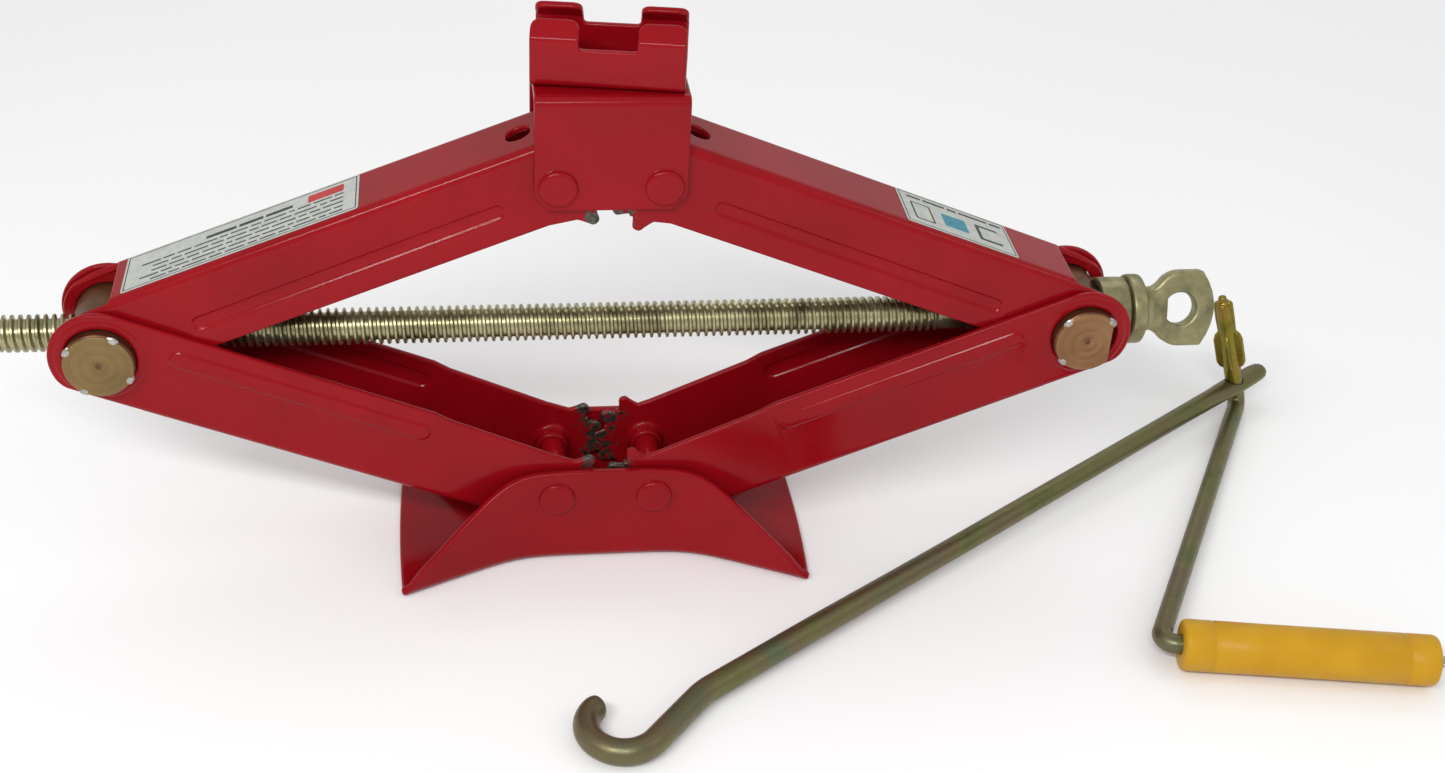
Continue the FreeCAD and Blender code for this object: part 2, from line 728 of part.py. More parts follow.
def rounded_path(points, radii):
    """Straight runs through the points, with an arc of the given radius at each inner point."""
    edges = []
    start = points[0]
    for index in range(1, len(points) - 1):
        corner = points[index]
        back = (points[index - 1] - corner).normalize()
        ahead = (points[index + 1] - corner).normalize()
        half = back.getAngle(ahead) / 2
        radius = radii[index - 1]
        reach = radius / math.tan(half)
        enter = corner + back * reach
        leave = corner + ahead * reach
        inward = (back + ahead).normalize()
        middle = corner + inward * (radius / math.sin(half) - radius)
        edges.append(Part.makeLine(start, enter))
        edges.append(Part.Arc(enter, middle, leave).toShape())
        start = leave
    edges.append(Part.makeLine(start, points[-1]))
    return edges


def bar(label, edges, radius):
    """A round bar swept along a path of edges."""
    line = doc.addObject("Part::Feature", label + "_line")
    line.Shape = Part.Wire(edges)
    section = doc.addObject("Part::Circle", label + "_section")
    bind(section, Radius=radius)
    first = edges[0]
    way = (first.Vertexes[1].Point - first.Vertexes[0].Point).normalize()
    section.Placement = Placement(first.Vertexes[0].Point, Rotation(Vector(0, 0, 1), way))
    sweep = doc.addObject("Part::Sweep", label + "_bar")
    sweep.Sections = [section]
    sweep.Spine = (line, [f"Edge{index + 1}" for index in range(len(line.Shape.Edges))])
    sweep.Solid = True
    sweep.Frenet = False
    doc.recompute()
    expected = math.pi * size(radius) ** 2 * line.Shape.Length
    if abs(sweep.Shape.Volume / expected - 1) > 0.02:
        raise RuntimeError(f"{label}: the bar's volume is wrong")
    return sweep


def hook_rod():
    """The long rod: a hook at one end, a flattened and drilled lug at the other."""
    radius = SIZES["hook_radius"]
    bend = Vector(SIZES["hook_start"], 0, 0)
    centre = Vector(SIZES["hook_centre"], -SIZES["hook_offset"], 0)
    away = centre - bend
    heading = math.atan2(away.y, away.x) + math.asin(radius / away.Length)
    touch = centre + Vector(-math.sin(heading), math.cos(heading), 0) * radius
    end_angle = angle(SIZES["hook_sweep_end"])
    middle_angle = (heading + math.pi / 2 + end_angle) / 2
    edges = rounded_path([Vector(-SIZES["hook_rod_end"], 0, 0), bend, touch], [SIZES["hook_bend"]])

    def on_hook(turn):
        return centre + Vector(math.cos(turn), math.sin(turn), 0) * radius

    edges.append(Part.Arc(touch, on_hook(middle_angle), on_hook(end_angle)).toShape())
    rod = bar("hook_rod", edges, S + "hook_rod")
    lug = doc.addObject("Part::Box", "hook_rod_lug")
    bind(lug, Length=f"2 * {S}flat_half_length", Width=f"2 * {S}flat_half_width",
         Height=f"2 * {S}flat_half_thick")
    lug.Placement = Placement(Vector(-SIZES["flat_half_length"], -SIZES["flat_half_width"],
                                     -SIZES["flat_half_thick"]), Rotation())
    whole = doc.addObject("Part::Fuse", "hook_rod_blank")
    whole.Base = rod
    whole.Tool = lug
    lie = Placement(HOOK_HOLE, Rotation(Vector(0, 0, 1), HOOK_HEADING)
                    * Rotation(TURN_Y, HOOK_DROP))
    whole.Placement = lie
    drill = doc.addObject("Part::Cylinder", "hook_rod_drill")
    bind(drill, Radius=S + "crank_hole", Height="40")
    drill.Placement = Placement(HOOK_HOLE - STUB_WAY * 20, Rotation(Vector(0, 0, 1), STUB_WAY))
    rod_done = doc.addObject("Part::Cut", "hook_rod_drilled")
    rod_done.Base = whole
    rod_done.Tool = drill
    doc.recompute()
    return keep(rod_done, "hook_rod")


def wing(start, length, half):
    """One flat pair of wings across the stub, from start along it, as a box."""
    plate = doc.addObject("Part::Box", "wing")
    bind(plate, Length=f"2 * {half}", Width=S + "wing_thick", Height=length)
    plate.Placement = Placement(Vector(-size(half), -SIZES["wing_thick"] / 2, size(start)), Rotation())
    return plate


def crank_rod():
    """The cranked rod: a winged stub, the arm, and the spindle through the grip."""
    edges = rounded_path([STUB_TIP, ELBOW, CRANK_CORNER, CRANK_END], [SIZES["crank_bend"]] * 2)
    rod = bar("crank_rod", edges, S + "crank_rod")
    stub = Placement(ELBOW, Rotation(Vector(0, 0, 1), STUB_WAY))
    pieces = [rod]
    upper = f"({S}wing_low + {S}wing_length)"
    for start, length, half in ((S + "wing_low", S + "wing_length", S + "wing_half"),
                                (upper, S + "wing_top_length", S + "wing_top_half")):
        for turn in (45, 135):
            plate = wing(start, length, half)
            across = Placement(Vector(), Rotation(Vector(0, 0, 1), turn))
            plate.Placement = stub * across * plate.Placement
            pieces.append(plate)
    whole = doc.addObject("Part::MultiFuse", "crank_rod_whole")
    whole.Shapes = pieces
    doc.recompute()
    return keep(whole, "crank_rod")


hook_rod()
crank_rod()
spindle = CRANK_END - CRANK_CORNER
way = Vector(spindle).normalize()
grip_start = CRANK_CORNER + way * SIZES["grip_place"]
soft = S + "grip_round"
turned("crank_grip",
       (("0", S + "grip_bore"), ("0", f"{S}grip - {soft}"), (soft, S + "grip"),
        (f"{S}grip_length - {soft}", S + "grip"), (S + "grip_length", f"{S}grip - {soft}"),
        (S + "grip_length", S + "grip_bore")),
       Placement(grip_start, Rotation(Vector(1, 0, 0), way)))


# --- checks and export ------------------------------------------------------------------------

doc.recompute()
for item in doc.Objects:
    if "Invalid" in item.State or "Error" in item.State:
        raise RuntimeError(f"{item.Name} ({item.Label}) did not rebuild: {item.State}")
for item in subparts:
    if item.Shape.isNull() or not item.Shape.isValid():
        raise RuntimeError(f"{item.Label} has no valid shape")

os.makedirs("parts", exist_ok=True)
for item in subparts:
    item.Shape.exportStep(f"parts/{item.Label}.step")
print(len(subparts), "sub-parts written")
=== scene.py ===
"""Looks of the scissor jack and its crank handle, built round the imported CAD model.

Shapes are worked out in millimetres and written to the meshes in metres.
"""

import bmesh
import bpy
import math
import numpy as np
from mathutils import Matrix, Vector, geometry


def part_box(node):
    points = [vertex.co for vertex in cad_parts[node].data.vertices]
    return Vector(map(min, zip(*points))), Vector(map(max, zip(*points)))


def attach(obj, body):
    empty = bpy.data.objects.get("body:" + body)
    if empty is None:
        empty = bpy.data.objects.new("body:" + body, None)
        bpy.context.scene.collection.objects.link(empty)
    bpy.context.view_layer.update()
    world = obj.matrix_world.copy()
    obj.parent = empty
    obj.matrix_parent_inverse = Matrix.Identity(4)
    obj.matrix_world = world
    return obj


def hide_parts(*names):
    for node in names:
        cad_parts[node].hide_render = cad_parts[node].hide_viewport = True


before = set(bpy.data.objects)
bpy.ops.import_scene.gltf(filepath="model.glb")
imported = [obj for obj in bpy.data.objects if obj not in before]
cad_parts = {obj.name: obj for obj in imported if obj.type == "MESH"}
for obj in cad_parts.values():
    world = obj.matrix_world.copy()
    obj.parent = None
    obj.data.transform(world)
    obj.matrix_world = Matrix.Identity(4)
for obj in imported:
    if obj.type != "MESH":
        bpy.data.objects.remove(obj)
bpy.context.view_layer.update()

MM = 0.001
TAU = 2 * math.pi


# --- places read from the CAD model -----------------------------------------------------------

def centre_of(node):
    """Middle of a CAD node's box, in millimetres."""
    low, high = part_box(node)
    return (low + high) / 2 / MM


def reach_of(node, axis, end):
    """One end of a CAD node's box along an axis, in millimetres."""
    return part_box(node)[end][axis] / MM


BASE_PIVOTS = {side: centre_of(f"base_rivet_{side}") for side in ("left", "right")}
HEAD_PIVOTS = {side: centre_of(f"head_rivet_{side}") for side in ("left", "right")}
SCREW_AXIS_Z = centre_of("lead_screw").z
LEFT_TRUNNION = centre_of("trunnion_nut")
TRUNNIONS = {"left": LEFT_TRUNNION, "right": Vector((-LEFT_TRUNNION.x, 0, SCREW_AXIS_Z))}
HEAD_TOP = reach_of("head_bracket", 2, 1)
SADDLE_FOOT = reach_of("saddle", 2, 0)


# --- mesh building ----------------------------------------------------------------------------

class Shape:
    """Vertices in millimetres, faces and a material number for each face."""

    def __init__(self):
        self.points = []
        self.faces = []
        self.slots = []

    def add(self, points, faces, slot=0, matrix=Matrix.Identity(4)):
        first = len(self.points)
        self.points += [matrix @ Vector(point) for point in points]
        self.faces += [tuple(first + index for index in face) for face in faces]
        self.slots += [slot] * len(faces)
        return self


def finish_piece(name, shape, body, nodes, materials, masks=None, weld=1e-4, sharp=50):
    """Makes the object, shades it smooth, and ties it to its body and to the nodes it stands for."""
    mesh = bpy.data.meshes.new(name)
    mesh.from_pydata([point * MM for point in shape.points], [], shape.faces)
    for material in materials:
        mesh.materials.append(material)
    mesh.polygons.foreach_set("material_index", shape.slots)
    for attribute, values in (masks or {}).items():
        layer = mesh.attributes.new(attribute, "FLOAT", "POINT")
        layer.data.foreach_set("value", np.array(values, np.float32))
    work = bmesh.new()
    work.from_mesh(mesh)
    bmesh.ops.remove_doubles(work, verts=work.verts, dist=weld * MM)
    bmesh.ops.dissolve_degenerate(work, edges=work.edges, dist=weld * MM)
    bmesh.ops.recalc_face_normals(work, faces=work.faces)
    for edge in work.edges:
        edge.smooth = len(edge.link_faces) != 2 or edge.calc_face_angle() < math.radians(sharp)
    work.to_mesh(mesh)
    work.free()
    mesh.polygons.foreach_set("use_smooth", [True] * len(mesh.polygons))
    piece = bpy.data.objects.new(name, mesh)
    bpy.context.scene.collection.objects.link(piece)
    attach(piece, body)
    if nodes:
        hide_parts(*nodes)
    return piece


def red_piece(name, shape, body, nodes, bare=None):
    """A painted piece; bare says, point by point, how much of its paint has worn off."""
    masks = {"bare": bare or [0.0] * len(shape.points)}
    finish_piece(name, shape, body, nodes, [RED], masks)


def signed_area(loop):
    return sum(a[0] * b[1] - b[0] * a[1] for a, b in zip(loop, loop[1:] + loop[:1])) / 2


def ring_of(centre, radius, count=48):
    turns = [TAU * i / count for i in range(count)]
    return [(centre[0] + radius * math.cos(a), centre[1] + radius * math.sin(a)) for a in turns]


def stadium(start, stop, radius, count=10):
    """A closed loop round a straight run, at a distance from it."""
    way = math.atan2(stop[1] - start[1], stop[0] - start[0])
    loop = []
    for centre, first in ((stop, way - math.pi / 2), (start, way + math.pi / 2)):
        for i in range(count + 1):
            turn = first + math.pi * i / count
            loop.append((centre[0] + radius * math.cos(turn), centre[1] + radius * math.sin(turn)))
    return loop


def rounded(points, radius):
    """A closed outline with its corners replaced by short curves."""
    result = []
    count = len(points)
    for index, point in enumerate(points):
        corner = Vector(point[:2])
        cut_radius = point[2] if len(point) > 2 else radius
        back = Vector(points[index - 1][:2]) - corner
        ahead = Vector(points[(index + 1) % count][:2]) - corner
        turn = math.pi - back.angle(ahead)
        if turn < math.radians(11) or cut_radius == 0:
            result.append(tuple(corner))
            continue
        cut = min(cut_radius * math.tan(turn / 2), 0.42 * back.length, 0.42 * ahead.length)
        start = corner + back.normalized() * cut
        stop = corner + ahead.normalized() * cut
        steps = max(2, math.ceil(turn / math.radians(14)))
        for i in range(steps + 1):
            t = i / steps
            result.append(tuple(start * (1 - t) ** 2 + corner * (2 * t * (1 - t)) + stop * t * t))
    return result


def grown(loop, distance):
    """A counter-clockwise loop moved outwards."""
    result = []
    for index, point in enumerate(loop):
        before = Vector(point) - Vector(loop[index - 1])
        after = Vector(loop[(index + 1) % len(loop)]) - Vector(point)
        normal = outward(before, after)
        result.append((point[0] + normal.x * distance, point[1] + normal.y * distance))
    return result


def outward(before, after):
    """Outward mitre vector at a corner of a counter-clockwise loop."""
    before, after = before.normalized(), after.normalized()
    middle = Vector((before.y + after.y, -before.x - after.x))
    if middle.length < 1e-6:
        return Vector((before.y, -before.x))
    middle.normalize()
    return middle * min(1.6, 1 / max(0.3, middle.dot(Vector((after.y, -after.x)))))


def inside(points, loop):
    """Which of the points a counter-clockwise loop winds round; small reversed loops don't count."""
    x, y = points[:, 0], points[:, 1]
    winding = np.zeros(len(points), int)
    for (x0, y0), (x1, y1) in zip(loop, loop[1:] + loop[:1]):
        if y0 == y1:
            continue
        crossing = ((y0 > y) != (y1 > y)) & (x < (x1 - x0) * (y - y0) / (y1 - y0) + x0)
        winding += np.where(crossing, 1 if y1 > y0 else -1, 0)
    return winding > 0


def sheet_metal(outline, surface, thick, rounding=0.7, holes=(), loops=(), lines=(), relief=None):
    """A sheet cut to an outline in its flat pattern, folded by surface(u, s, depth), with rounded edges."""
    relief = relief or (lambda u, s: 0.0)
    if signed_area(outline) < 0:
        outline = outline[::-1]
    rim = grown(outline, -rounding)
    hole_rims = [grown(hole, rounding) for hole in holes]
    support = 0.35
    closed = [rim, grown(outline, -rounding - support), *hole_rims,
              *[grown(hole, rounding + support) for hole in holes], *loops]
    points, edges = [], []
    for chain, is_closed in [(loop, True) for loop in closed] + [(line, False) for line in lines]:
        first = len(points)
        points += [Vector(p) for p in chain]
        edges += [(first + i, first + i + 1) for i in range(len(chain) - 1)]
        if is_closed:
            edges.append((first + len(chain) - 1, first))
    flat, _, cells, _, _, _ = geometry.delaunay_2d_cdt(points, edges, [], 0, 1e-4)
    middles = np.array([sum((flat[i] for i in cell), Vector((0, 0))) / len(cell) for cell in cells])
    kept = inside(middles, rim)
    for hole in hole_rims:
        kept &= ~inside(middles, hole)
    cells = [cell for cell, keep in zip(cells, kept) if keep]
    used = sorted({index for cell in cells for index in cell})
    number = {index: place for place, index in enumerate(used)}
    flat = [flat[index] for index in used]
    cells = [[number[index] for index in cell] for cell in cells]
    cells = [cell if signed_area([flat[i] for i in cell]) > 0 else cell[::-1] for cell in cells]
    rises = [relief(p.x, p.y) for p in flat]
    count = len(flat)
    result = [surface(p.x, p.y, -rise) for p, rise in zip(flat, rises)]
    result += [surface(p.x, p.y, thick - rise) for p, rise in zip(flat, rises)]
    faces = [tuple(cell) for cell in cells] + [tuple(count + i for i in reversed(cell)) for cell in cells]
    directed = {(cell[i], cell[(i + 1) % len(cell)]) for cell in cells for i in range(len(cell))}
    following = {a: b for a, b in directed if (b, a) not in directed}
    previous = {b: a for a, b in following.items()}
    turns = (math.pi / 6, math.pi / 3, math.pi / 2)
    profile = [(rounding * math.sin(a), rounding * (1 - math.cos(a))) for a in turns]
    profile += [(out, thick - deep) for out, deep in reversed(profile)]
    place = {}
    for index in following:
        normal = outward(flat[index] - flat[previous[index]], flat[following[index]] - flat[index])
        place[index] = len(result)
        for out, deep in profile:
            spot = flat[index] + normal * out
            result.append(surface(spot.x, spot.y, deep - rises[index]))
    steps = len(profile)
    for a, b in following.items():
        chain_a = [a] + [place[a] + k for k in range(steps)] + [count + a]
        chain_b = [b] + [place[b] + k for k in range(steps)] + [count + b]
        faces += [(chain_b[k], chain_a[k], chain_a[k + 1], chain_b[k + 1]) for k in range(steps + 1)]
    return result, faces


class Section:
    """A bent sheet's cross-section from its middle line outwards, mirrored about Y = 0."""

    def __init__(self, *runs):
        self.runs = []
        along, y, z, heading = 0.0, 0.0, 0.0, 0.0
        for length, turn in runs:
            self.runs.append((along, length, turn, y, z, heading))
            if turn:
                radius = length
                y -= radius * math.sin(heading)
                z += radius * math.cos(heading)
                heading += turn
                y += radius * math.sin(heading)
                z -= radius * math.cos(heading)
                along += radius * turn
            else:
                y += length * math.cos(heading)
                z += length * math.sin(heading)
                along += length
        self.length = along

    def at(self, s, depth):
        side, s = math.copysign(1, s), abs(s)
        along, length, turn, y, z, heading = [run for run in self.runs if run[0] <= s + 1e-9][-1]
        travelled = s - along
        if turn:
            middle_y, middle_z = y - length * math.sin(heading), z + length * math.cos(heading)
            heading += travelled / length
            y, z = middle_y + length * math.sin(heading), middle_z - length * math.cos(heading)
        else:
            y, z = y + travelled * math.cos(heading), z + travelled * math.sin(heading)
        return side * (y - depth * math.sin(heading)), z + depth * math.cos(heading)

    def surface(self, x, s, depth):
        return x, *self.at(s, depth)

    def fold_lines(self, start, stop, steps=6):
        """Lines along the part at each bend, close enough together to round it."""
        places = []
        for along, length, turn, *_ in self.runs:
            if turn:
                places += [along - 0.5] + [along + length * turn * i / steps for i in range(steps + 1)]
                places.append(along + length * turn + 0.5)
        return [[(start, side * s), (stop, side * s)] for s in places for side in (-1, 1)]


def turned(profile, segments=56, start=0.0):
    """A body of revolution about the local X axis from (along, radius) pairs."""
    points, rings = [], []
    for along, radius in profile:
        if radius < 1e-6:
            rings.append([len(points)] * segments)
            points.append((along, 0, 0))
            continue
        rings.append(list(range(len(points), len(points) + segments)))
        turns = [start + TAU * i / segments for i in range(segments)]
        points += [(along, radius * math.cos(a), radius * math.sin(a)) for a in turns]
    faces = []
    for near, far in zip(rings, rings[1:]):
        for i in range(segments):
            j = (i + 1) % segments
            corners = [near[i], near[j], far[j], far[i]]
            face = [corner for k, corner in enumerate(corners) if corner not in corners[:k]]
            if len(face) > 2:
                faces.append(tuple(face))
    return points, faces


def frame_matrix(origin, ahead, side):
    """A local frame whose X runs ahead and whose Y is as near as it can be to side."""
    ahead = ahead.normalized()
    up = ahead.cross(side).normalized()
    across = up.cross(ahead)
    matrix = Matrix((ahead, across, up)).transposed().to_4x4()
    matrix.translation = origin
    return matrix


def smooth_step(value):
    value = min(1, max(0, value))
    return value * value * (3 - 2 * value)


def joined(rings):
    """Rings of points skinned into a closed bar."""
    size = len(rings[0])
    points = [point for ring in rings for point in ring]
    faces = []
    for i in range(len(rings) - 1):
        for k in range(size):
            a, b = i * size + k, i * size + (k + 1) % size
            faces.append((a, b, b + size, a + size))
    faces.append(tuple(range(size - 1, -1, -1)))
    faces.append(tuple(range(len(points) - size, len(points))))
    return points, faces


def swept(path, section):
    """A bar along a path of points; section(i) gives the cross-section's (side, up) points there."""
    count = len(path)
    ways = []
    for i in range(count):
        ways.append((path[min(i + 1, count - 1)] - path[max(i - 1, 0)]).normalized())
    up = Vector((0, 0, 1))
    if abs(ways[0].z) > 0.9:
        up = Vector((0, 1, 0))
    up = (up - ways[0] * up.dot(ways[0])).normalized()
    rings = []
    for i in range(count):
        if i:
            up = ways[i - 1].rotation_difference(ways[i]) @ up
            up = (up - ways[i] * up.dot(ways[i])).normalized()
        side = ways[i].cross(up)
        rings.append([path[i] + side * a + up * b for a, b in section(i)])
    return joined(rings)


# --- materials --------------------------------------------------------------------------------

def linear(red, green, blue):
    """An 8-bit display colour as a linear one."""
    shares = [c / 255 for c in (red, green, blue)]
    return tuple(((c + 0.055) / 1.055) ** 2.4 if c > 0.04 else c / 12.92 for c in shares) + (1.0,)


class Nodes:
    """A small helper round one material's node tree."""

    def __init__(self, name):
        self.material = bpy.data.materials.new(name)
        self.material.use_nodes = True
        self.tree = self.material.node_tree
        self.shader = self.tree.nodes["Principled BSDF"]
        self.place = self.tree.nodes.new("ShaderNodeTexCoord")

    def new(self, kind, **sockets):
        node = self.tree.nodes.new(kind)
        for name, value in sockets.items():
            self.give(node.inputs[name.replace("_", " ")], value)
        return node

    def give(self, socket, value):
        if isinstance(value, bpy.types.NodeSocket):
            self.tree.links.new(value, socket)
        else:
            socket.default_value = value

    def shade(self, **sockets):
        for name, value in sockets.items():
            self.give(self.shader.inputs[name.replace("_", " ")], value)

    def noise(self, scale, detail=3.0, roughness=0.55, distortion=0.0):
        node = self.new("ShaderNodeTexNoise", Scale=scale, Detail=detail, Roughness=roughness,
                        Distortion=distortion, Vector=self.place.outputs["Object"])
        return node.outputs["Fac"]

    def drift(self, scale, detail, low, high):
        """Noise that wanders between two values."""
        return self.span(self.noise(scale, detail), 0.3, 0.7, low, high)

    def ramp(self, value, stops):
        node = self.tree.nodes.new("ShaderNodeValToRGB")
        while len(node.color_ramp.elements) < len(stops):
            node.color_ramp.elements.new(0.5)
        for element, (position, colour) in zip(node.color_ramp.elements, stops):
            element.position = position
            element.color = colour if len(colour) == 4 else (*colour, 1)
        self.give(node.inputs["Fac"], value)
        return node.outputs["Color"]

    def span(self, value, low, high, start, stop):
        node = self.tree.nodes.new("ShaderNodeMapRange")
        for name, number in (("From Min", low), ("From Max", high), ("To Min", start), ("To Max", stop)):
            node.inputs[name].default_value = number
        self.give(node.inputs["Value"], value)
        return node.outputs["Result"]

    def mix(self, share, first, second):
        node = self.tree.nodes.new("ShaderNodeMix")
        node.data_type = "RGBA"
        self.give(node.inputs["Factor"], share)
        self.give(node.inputs[6], first)
        self.give(node.inputs[7], second)
        return node.outputs[2]

    def math(self, operation, first, second=0.0):
        node = self.tree.nodes.new("ShaderNodeMath")
        node.operation = operation
        self.give(node.inputs[0], first)
        self.give(node.inputs[1], second)
        return node.outputs[0]

    def mask(self, name):
        node = self.tree.nodes.new("ShaderNodeAttribute")
        node.attribute_name = name
        return node.outputs["Fac"]

    def bump(self, height, strength, distance):
        node = self.new("ShaderNodeBump", Strength=strength, Distance=distance, Height=height)
        self.shade(Normal=node.outputs["Normal"])
        return node


def red_paint():
    nodes = Nodes("red_paint")
    broad = nodes.noise(22, 2)
    fine = nodes.noise(260, 4)
    colour = nodes.ramp(broad, [(0.3, linear(131, 8, 18)), (0.72, linear(146, 11, 22))])
    colour = nodes.mix(nodes.span(fine, 0.55, 0.8, 0.0, 0.35), colour, linear(114, 8, 16))
    patches = nodes.span(nodes.noise(420, 5, 0.65), 0.3, 0.7, 0.1, 0.75)
    bare = nodes.math("SUBTRACT", nodes.mask("bare"), patches)
    bare = nodes.span(bare, 0.0, 0.12, 0.0, 1.0)
    steel = nodes.ramp(nodes.noise(700, 4), [(0.3, linear(46, 46, 42)), (0.7, linear(104, 104, 94))])
    nodes.shade(Base_Color=nodes.mix(bare, colour, steel),
                Metallic=nodes.math("MULTIPLY", bare, 0.75),
                Roughness=nodes.math("ADD", nodes.drift(90, 3, 0.1, 0.18),
                                     nodes.math("MULTIPLY", bare, 0.22)))
    nodes.shader.inputs["Specular IOR Level"].default_value = 0.17
    height = nodes.math("ADD", nodes.noise(150, 2), nodes.math("MULTIPLY", nodes.noise(900, 2), 0.25))
    height = nodes.math("ADD", height, nodes.math("MULTIPLY", bare, nodes.noise(1500, 3)))
    nodes.bump(height, 0.1, 0.0005)
    return nodes.material


def zinc(name, colours, rough, scale=70, painted_far_side_shade=None):
    """Passivated zinc: a metal whose tint drifts between several colours."""
    nodes = Nodes(name)
    drift = nodes.noise(scale, 3, 0.5, 0.6)
    steps = len(colours) - 1
    stops = [(0.3 + 0.4 * i / steps, linear(*colour)) for i, colour in enumerate(colours)]
    colour = nodes.ramp(drift, stops)
    speck = nodes.noise(1300, 3, 0.7)
    stain = linear(*[int(c * 0.55) for c in colours[0]])
    colour = nodes.mix(nodes.span(speck, 0.55, 0.75, 0.0, 0.45), colour, stain)
    # Painted shade and painted reflection: a darker maroon mixed onto the faces turned towards +Y, away from
    # the camera.
    if painted_far_side_shade:
        split = nodes.new("ShaderNodeSeparateXYZ")
        nodes.give(split.inputs[0], nodes.place.outputs["Normal"])
        far_side_shade_share = nodes.math("ADD", split.outputs["Y"], nodes.drift(45, 3, -0.35, 0.35))
        colour = nodes.mix(nodes.span(far_side_shade_share, 0.25, 0.75, 0.0, 0.45), colour, linear(*painted_far_side_shade))
    nodes.shade(Base_Color=colour, Metallic=0.85,
                Roughness=nodes.drift(400, 4, rough - 0.07, rough + 0.1))
    nodes.bump(nodes.math("ADD", nodes.noise(800, 4), nodes.noise(220, 2)), 0.12, 0.0003)
    return nodes.material


def pin_face(name, colours, centre):
    """A turned end face: fine rings about the pin's axis."""
    nodes = Nodes(name)
    shift = nodes.new("ShaderNodeVectorMath")
    shift.operation = "SUBTRACT"
    nodes.give(shift.inputs[0], nodes.place.outputs["Object"])
    shift.inputs[1].default_value = centre
    flat = nodes.new("ShaderNodeVectorMath")
    flat.operation = "MULTIPLY"
    nodes.give(flat.inputs[0], shift.outputs[0])
    flat.inputs[1].default_value = (1, 0, 1)
    radius = nodes.new("ShaderNodeVectorMath")
    radius.operation = "LENGTH"
    nodes.give(radius.inputs[0], flat.outputs[0])
    rings = nodes.math("SINE", nodes.math("MULTIPLY", radius.outputs["Value"], TAU / 0.0009))
    wide = nodes.math("SINE", nodes.math("MULTIPLY", radius.outputs["Value"], TAU / 0.0037))
    blend = nodes.math("ADD", nodes.span(wide, -1, 1, 0.16, 0.24), nodes.drift(45, 2, 0.1, 0.45))
    blend = nodes.math("ADD", blend, nodes.span(rings, -1, 1, 0.0, 0.2))
    colour = nodes.ramp(blend, [(0.2, linear(*colours[0])), (0.8, linear(*colours[1]))])
    nodes.shade(Base_Color=colour, Metallic=0.8, Roughness=nodes.drift(500, 3, 0.28, 0.42))
    nodes.bump(nodes.math("ADD", rings, nodes.math("MULTIPLY", nodes.noise(900, 3), 0.8)), 0.16, 0.0001)
    return nodes.material


def yellow_plastic():
    nodes = Nodes("yellow_plastic")
    colour = nodes.ramp(nodes.noise(60, 3), [(0.3, linear(188, 138, 14)), (0.7, linear(199, 150, 24))])
    grime = nodes.span(nodes.noise(240, 5, 0.65), 0.58, 0.8, 0.0, 0.35)
    colour = nodes.mix(grime, colour, linear(172, 118, 20))
    nodes.shade(Base_Color=colour, Roughness=nodes.drift(300, 3, 0.36, 0.5))
    nodes.shader.inputs["Specular IOR Level"].default_value = 0.25
    nodes.bump(nodes.math("ADD", nodes.noise(500, 3), nodes.noise(90, 2)), 0.12, 0.0003)
    return nodes.material


def paper(name, low, high, rough=0.5):
    nodes = Nodes(name)
    colour = nodes.ramp(nodes.noise(300, 4), [(0.3, linear(*low)), (0.7, linear(*high))])
    nodes.shade(Base_Color=colour, Roughness=nodes.drift(500, 2, rough - 0.08, rough + 0.08))
    nodes.bump(nodes.noise(700, 3), 0.1, 0.0002)
    return nodes.material


RED = red_paint()
SCREW_ZINC = zinc("screw_zinc", ((122, 118, 88), (164, 158, 122), (184, 178, 144)), 0.3)
EYE_ZINC = zinc("eye_zinc", ((122, 118, 88), (148, 142, 106), (166, 158, 118)), 0.42, 120)
ROD_TINTS = ((96, 102, 66), (114, 112, 72), (116, 104, 78), (100, 108, 80))
# The last colour is painted shade and painted reflection, laid on the rod's faces that turn away from the
# camera.
ROD_ZINC = zinc("rod_zinc", ROD_TINTS, 0.4, 26, (96, 58, 56))
STUB_ZINC = zinc("stub_zinc", ((112, 102, 34), (136, 122, 44), (142, 116, 50)), 0.32, 90)
DARK_STEEL = zinc("dark_steel", ((74, 70, 62), (102, 98, 86)), 0.42, 150)
BRIGHT_STEEL = zinc("bright_steel", ((150, 150, 144), (196, 196, 190)), 0.34, 200)
# The pins' sides are darker and redder than their end faces: painted shade and a painted reflection of the
# red paint round them.
PIN_SIDE_PAINTED_REFLECTION = zinc("pin_side_painted_reflection", ((92, 60, 44), (126, 92, 60)), 0.38, 120)
GRIP = yellow_plastic()
PAPER = paper("label_paper", (172, 176, 169), (190, 194, 187))
INK = paper("label_ink", (38, 40, 40), (58, 60, 58))
RED_INK = paper("label_red", (168, 36, 40), (190, 50, 52))
BLUE_INK = paper("label_blue", (40, 120, 140), (60, 142, 160))


# --- arms -------------------------------------------------------------------------------------
# Local frame: gear pivot at the origin, X to the trunnion, the channel's open side towards +Z.

ARM = (TRUNNIONS["right"] - BASE_PIVOTS["right"]).length
SHEET = 2.5
BEND = 3.4
TEETH = {"left": (110, 140, 170, 200), "right": (95, 125, 155, 185)}
GEAR_ROOT = 15.8
TOOTH = ((15.5, 4.4), (16.6, 3.7), (18.0, 2.95), (19.2, 2.35), (20.4, 1.9), (21.2, 1.2), (21.4, 0.0))
TOOTH_LOOP = TOOTH + tuple((out, -across) for out, across in TOOTH[-2::-1])
PIN_HOLE = 12.85
RIVET_HOLE = 5.1
UPPER_WEB = 16.6                # pivot line to the outside of the web, at the pivot
UPPER_WEB_RISE = 1.8            # and how much further out it is where the web stops
UPPER_WEB_STOP = ARM - 12.5


